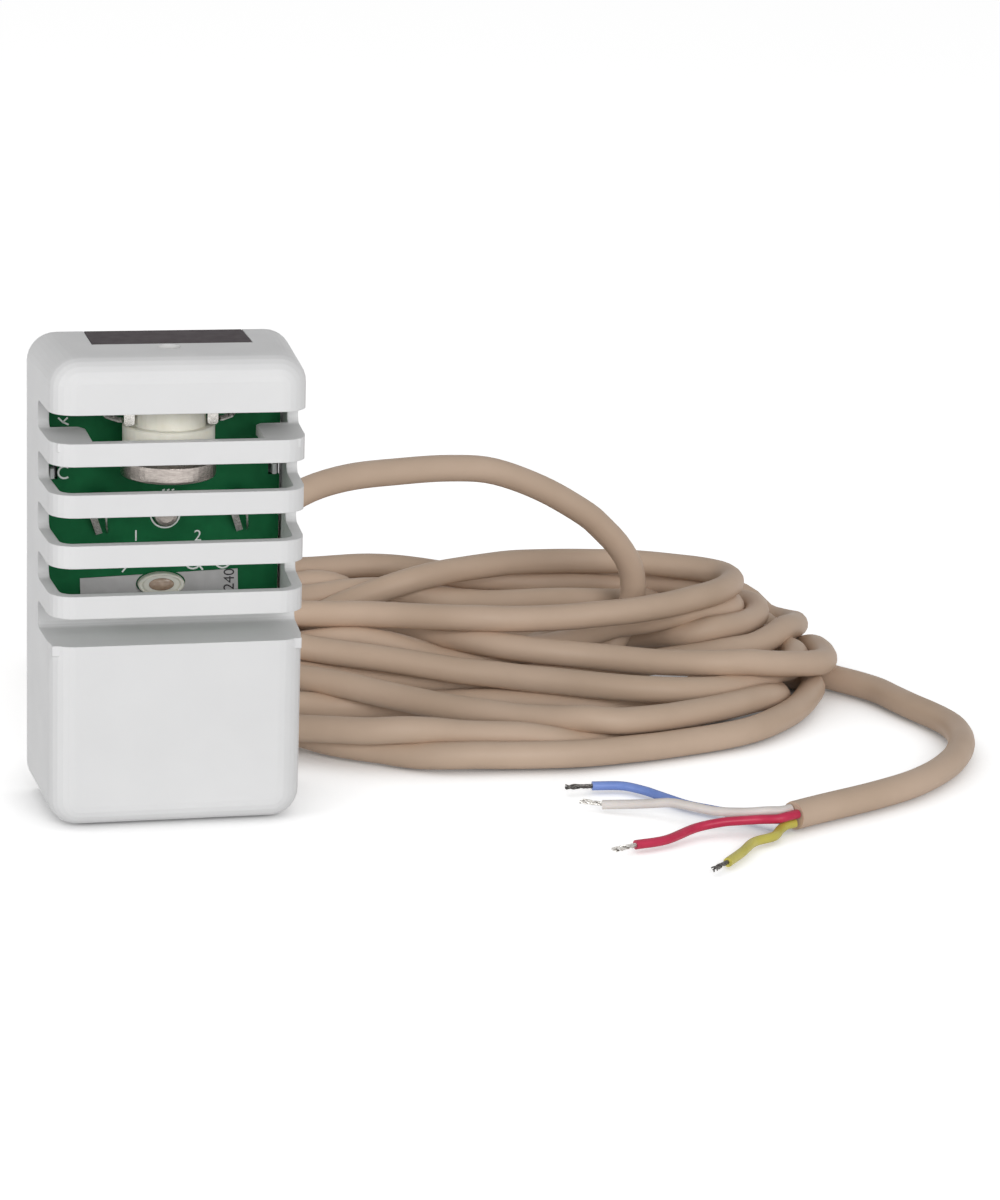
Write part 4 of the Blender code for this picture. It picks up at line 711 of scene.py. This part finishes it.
@dataclass
class StrippedEnd:
    """The cable's stripped end: four insulated cores and the bare wires that stand out of them."""

    core_diameter: float = 1.85
    wire_diameter: float = 0.3
    wire_circle: float = 0.31
    wire_tuck: float = 1.2
    twist: float = 420.0
    fray: float = 0.9
    cores: dict[Core, Sequence[Point]] = field(
        default_factory=lambda: {
            Core.WHITE: (
                (116.8, -31.5, 4.08), (114.6, -32.5, 4.08), (112.0, -32.0, 3.98), (107.9, -30.8, 3.5),
                (102.7, -28.7, 3.25), (99.0, -25.1, 3.15), (95.7, -22.1, 3.05), (92.8, -20.4, 2.5),
                (89.7, -18.4, 1.8), (83.4, -16.1, 1.2),
            ),
            Core.BLUE: (
                (116.6, -31.0, 2.07), (114.4, -31.5, 2.0), (111.4, -28.6, 1.5), (107.8, -24.6, 1.1),
                (103.9, -21.4, 1.05), (100.2, -18.0, 1.02), (97.6, -14.0, 1.02), (95.6, -10.8, 1.05),
                (93.8, -8.3, 1.1), (90.4, -5.2, 1.1), (84.4, -4.7, 1.2),
            ),
            Core.RED: (
                (117.7, -33.3, 3.54), (115.5, -34.3, 3.54), (113.2, -34.7, 3.25), (110.0, -33.6, 2.9),
                (106.1, -33.2, 2.7), (102.6, -32.8, 2.4), (97.2, -33.4, 1.7), (90.1, -37.8, 1.2),
                (83.5, -39.7, 1.2),
            ),
            Core.YELLOW: (
                (117.4, -32.8, 1.54), (115.3, -33.8, 1.54), (113.6, -35.4, 1.24), (111.4, -38.5, 1.1),
                (106.6, -41.1, 1.1), (102.6, -46.3, 1.1), (98.2, -51.4, 1.1),
            ),
        }
    )
    wire_ends: dict[Core, Point] = field(
        default_factory=lambda: {
            Core.WHITE: (79.3, -14.1, 1.5),
            Core.BLUE: (78.6, -5.5, 1.5),
            Core.RED: (78.2, -42.8, 1.5),
            Core.YELLOW: (94.1, -55.4, 1.3),
        }
    )

    def build(self) -> list[bpy.types.Object]:
        """Makes each core with its bare wires, in place of their solids.

        Returns:
            The cores and the wires.
        """
        made: list[bpy.types.Object] = []
        for core, points in self.cores.items():
            way = metres(points)
            line = spun(way, 0.0007)
            data = tube(core.word, [line], self.core_diameter * MM, 5)
            piece = add_piece(f"insulation_{core.word}", data, core.value)
            made.append(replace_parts(piece, f"core_{core.word}"))
            made.append(self.bare_wires(core, way[-2:], metres([self.wire_ends[core]])[0]))
        return made

    def bare_wires(self, core: Core, stub: Sequence[Vector], end: Vector) -> bpy.types.Object:
        """Twists the bare wires that stand out of one core.

        Args:
            core: the core.
            stub: the last two waypoints of its insulation, in metres.
            end: where the wires end, in metres.

        Returns:
            The wires as one piece.
        """
        start = stub[1] + (stub[0] - stub[1]).normalized() * self.wire_tuck * MM
        way = end - start
        side = way.orthogonal().normalized()
        other = way.cross(side).normalized()
        lines = [[start + way * t / 20 for t in range(21)]]
        for wire in range(6):
            line = []
            for step in range(29):
                t = step / 28
                turn = math.radians(60 * wire + self.twist * t + 15 * core.wire_offset * t)
                spread = 0.5 + 0.5 * math.sin(2.1 * wire + core.wire_offset)
                loose = self.wire_circle * MM * (1 + self.fray * t**3 * spread)
                reach = 1 - 0.05 * ((wire * 3 + core.wire_offset) % 4)
                across = side * loose * math.cos(turn) + other * loose * math.sin(turn)
                line.append(start + way * t * reach + across)
            lines.append(line)
        data = tube(f"wires_{core.word}", lines, self.wire_diameter * MM, 2)
        finish = DULL_TIN if core in (Core.BLUE, Core.YELLOW) else TIN
        wires = add_piece(f"bare_wires_{core.word}", data, finish)
        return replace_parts(wires, f"strands_{core.word}")


@dataclass
class BoardPrint:
    """The white marks on the board and the black ones on its label, as thin raised ink."""

    lift: float = 0.03
    ink_share: float = 0.8
    verts: list[Point] = field(default_factory=list)
    faces: list[tuple[int, ...]] = field(default_factory=list)

    def build(self) -> None:
        """Makes all the marks."""
        self.ring((0.4, 56.1), 2.85, 0.32, 0, 360)
        self.ring((-19.0, 64.6), 1.15, 0.38, 50, 310)
        self.stroke([(-20.2, 75.3), (-19.3, 74.4), (-18.2, 73.9)], 0.34)
        self.stroke([(-19.3, 74.4), (-18.4, 75.3)], 0.34)
        self.ring((0.0, 39.5), 9.35, 0.34, 33, 147)
        self.ring((5.9, 46.4), 1.5, 0.36, 0, 360)
        self.ring((11.7, 46.4), 1.5, 0.36, 0, 360)
        self.stroke([(21.3, 63.8), (21.3, 65.5)], 0.36)
        self.stroke([(20.9, 65.4), (21.7, 65.4)], 0.3)
        for x in (-0.2, 0.7, 1.6):
            self.stroke([(x, 60.6), (x + 0.5, 60.8)], 0.3)
        for step in range(19):
            x = -12.6 + step * 1.8
            self.stroke([(x, 50.15), (x + 1.1, 50.15)], 0.26)
        self.post("board_marks", INK)
        self.number("1", (-6.0, 50.75), 2.3, 0, INK)
        self.number("2", (6.0, 50.45), 2.3, 0, INK)
        self.number("0240", (13.9, 38.9), 2.2, 90, BLACK_INK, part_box("board_label")[0][1] / MM)

    def stroke(self, points: Sequence[Flat], width: float) -> None:
        """Draws a straight-sided stroke.

        Args:
            points: its way on the board, as x and z in millimetres.
            width: its width in millimetres.
        """
        for (ax, az), (bx, bz) in zip(points, points[1:]):
            along = Vector((bx - ax, bz - az)).normalized()
            side = Vector((-along.y, along.x)) * width / 2
            first = len(self.verts)
            for x, z in ((ax, az), (bx, bz)):
                for sign in (-1, 1):
                    self.verts.append((x + sign * side.x, BOARD_FACE - self.lift, z + sign * side.y))
            self.faces.append((first, first + 2, first + 3, first + 1))

    def ring(self, centre: Flat, radius: float, width: float, start: float, end: float) -> None:
        """Draws a ring or an arc.

        Args:
            centre: its centre, as x and z in millimetres.
            radius: the radius of its middle line, in millimetres.
            width: its width in millimetres.
            start: where it starts, in degrees.
            end: where it ends, in degrees.
        """
        count = max(8, round((end - start) / 10))
        points = []
        for step in range(count + 1):
            turn = math.radians(start + (end - start) * step / count)
            points.append((centre[0] + radius * math.cos(turn), centre[1] + radius * math.sin(turn)))
        self.stroke(points, width)

    def post(self, name: str, finish: Finish) -> None:
        """Puts the drawn marks on the board as one thin piece.

        Args:
            name: the piece's name.
            finish: its ink.
        """
        mesh = bpy.data.meshes.new(name)
        mesh.from_pydata(metres(self.verts), [], self.faces)
        piece = add_piece(name, mesh, finish)
        thick = piece.modifiers.new("ink", "SOLIDIFY")
        thick.thickness = self.lift * self.ink_share * MM
        thick.offset = 1

    def number(
        self, text: str, place: Flat, height: float, turn: float, finish: Finish, face: float = BOARD_FACE
    ) -> None:
        """Prints a plain number.

        Args:
            text: the number.
            place: its lower left corner, as x and z in millimetres.
            height: the height of its digits, in millimetres.
            turn: how far it is turned on the board, in degrees.
            finish: its ink.
            face: where the face that it stands on lies, as y in millimetres.
        """
        data = bpy.data.curves.new(f"number_{text}", "FONT")
        data.body = text
        data.size = height * 1.35 * MM
        data.extrude = 0.012 * MM
        piece = add_piece(f"number_{text}", data, finish)
        stand = Matrix.Rotation(math.pi / 2, 4, "X") @ Matrix.Rotation(math.radians(turn), 4, "Z")
        at = Matrix.Translation(Vector((place[0], face - self.lift, place[1])) * MM)
        piece.matrix_world = at @ stand


@dataclass
class Housing:
    """The louvred cover, its back plate, screws and top label."""

    def build(self) -> None:
        """Dresses the housing's solids."""
        dress(COVER, "louvred_cover")
        dress(PLATE, "back_plate")
        dress(STEEL, "cover_screw_left", "cover_screw_right")
        dress(FILM, "top_label")
        dress(GROMMET, "cable_grommet")
        dress(NYLON, "cable_tie")


@dataclass
class SensorBoard:
    """The circuit board behind the slats and what stands on it.

    The sizes are in millimetres.
    """

    bush_middle: Flat = (-0.4, 42.3)
    bush_flatness: float = 4.6 / 9.0
    potting_widths: Flat = (2.45, 3.57)
    potting_rise: float = 1.42
    potting_thickness: float = 0.12
    potting_steps: int = 48

    def build(self) -> None:
        """Dresses the board, its sensor and its cutout, and prints the board."""
        dress(MASK, "circuit_board")
        dress(PAPER, "board_label")
        dress(STEEL, "board_screw", "cutout_cap")
        dress(CREAM, "sensor_bush", "cutout_body", "reset_button")
        dress(AMBER, "sensor_bead")
        dress(CERAMIC, "resistor_left_body", "resistor_right_body")
        for side in ("left", "right"):
            dress(TIN, f"resistor_{side}_flat_leg", f"resistor_{side}_wire_leg")
            dress(TIN, f"cutout_terminal_{side}", f"cutout_lead_{side}")
        for core in Core:
            dress(core.value, f"inner_core_{core.word}")
        self.pot_bead()
        BoardPrint().build()

    def pot_bead(self) -> None:
        """Lays the ring of cream potting that holds the bead in its bush."""
        steps = self.potting_steps
        verts = []
        for wide in self.potting_widths:
            for step in range(steps):
                turn = math.tau * step / steps
                verts.append((
                    self.bush_middle[0] + wide * math.cos(turn),
                    BOARD_FACE - self.potting_rise,
                    self.bush_middle[1] + wide * self.bush_flatness * math.sin(turn),
                ))
        faces = [(i, (i + 1) % steps, steps + (i + 1) % steps, steps + i) for i in range(steps)]
        mesh = bpy.data.meshes.new("sensor_potting")
        mesh.from_pydata(metres(verts), [], faces)
        ring = add_piece("sensor_potting", mesh, CREAM)
        thick = ring.modifiers.new("potting", "SOLIDIFY")
        thick.thickness = self.potting_thickness * MM
        thick.offset = 0


def main() -> None:
    """Builds and dresses the whole sensor, and notes the cable's length."""
    logging.basicConfig(level=logging.INFO, format="%(name)s: %(message)s")
    PhotoCamera().build()
    Cable().build(StrippedEnd().build())
    Housing().build()
    SensorBoard().build()
    Studio().build()
    bpy.context.view_layer.update()


if __name__ == "__main__":
    main()
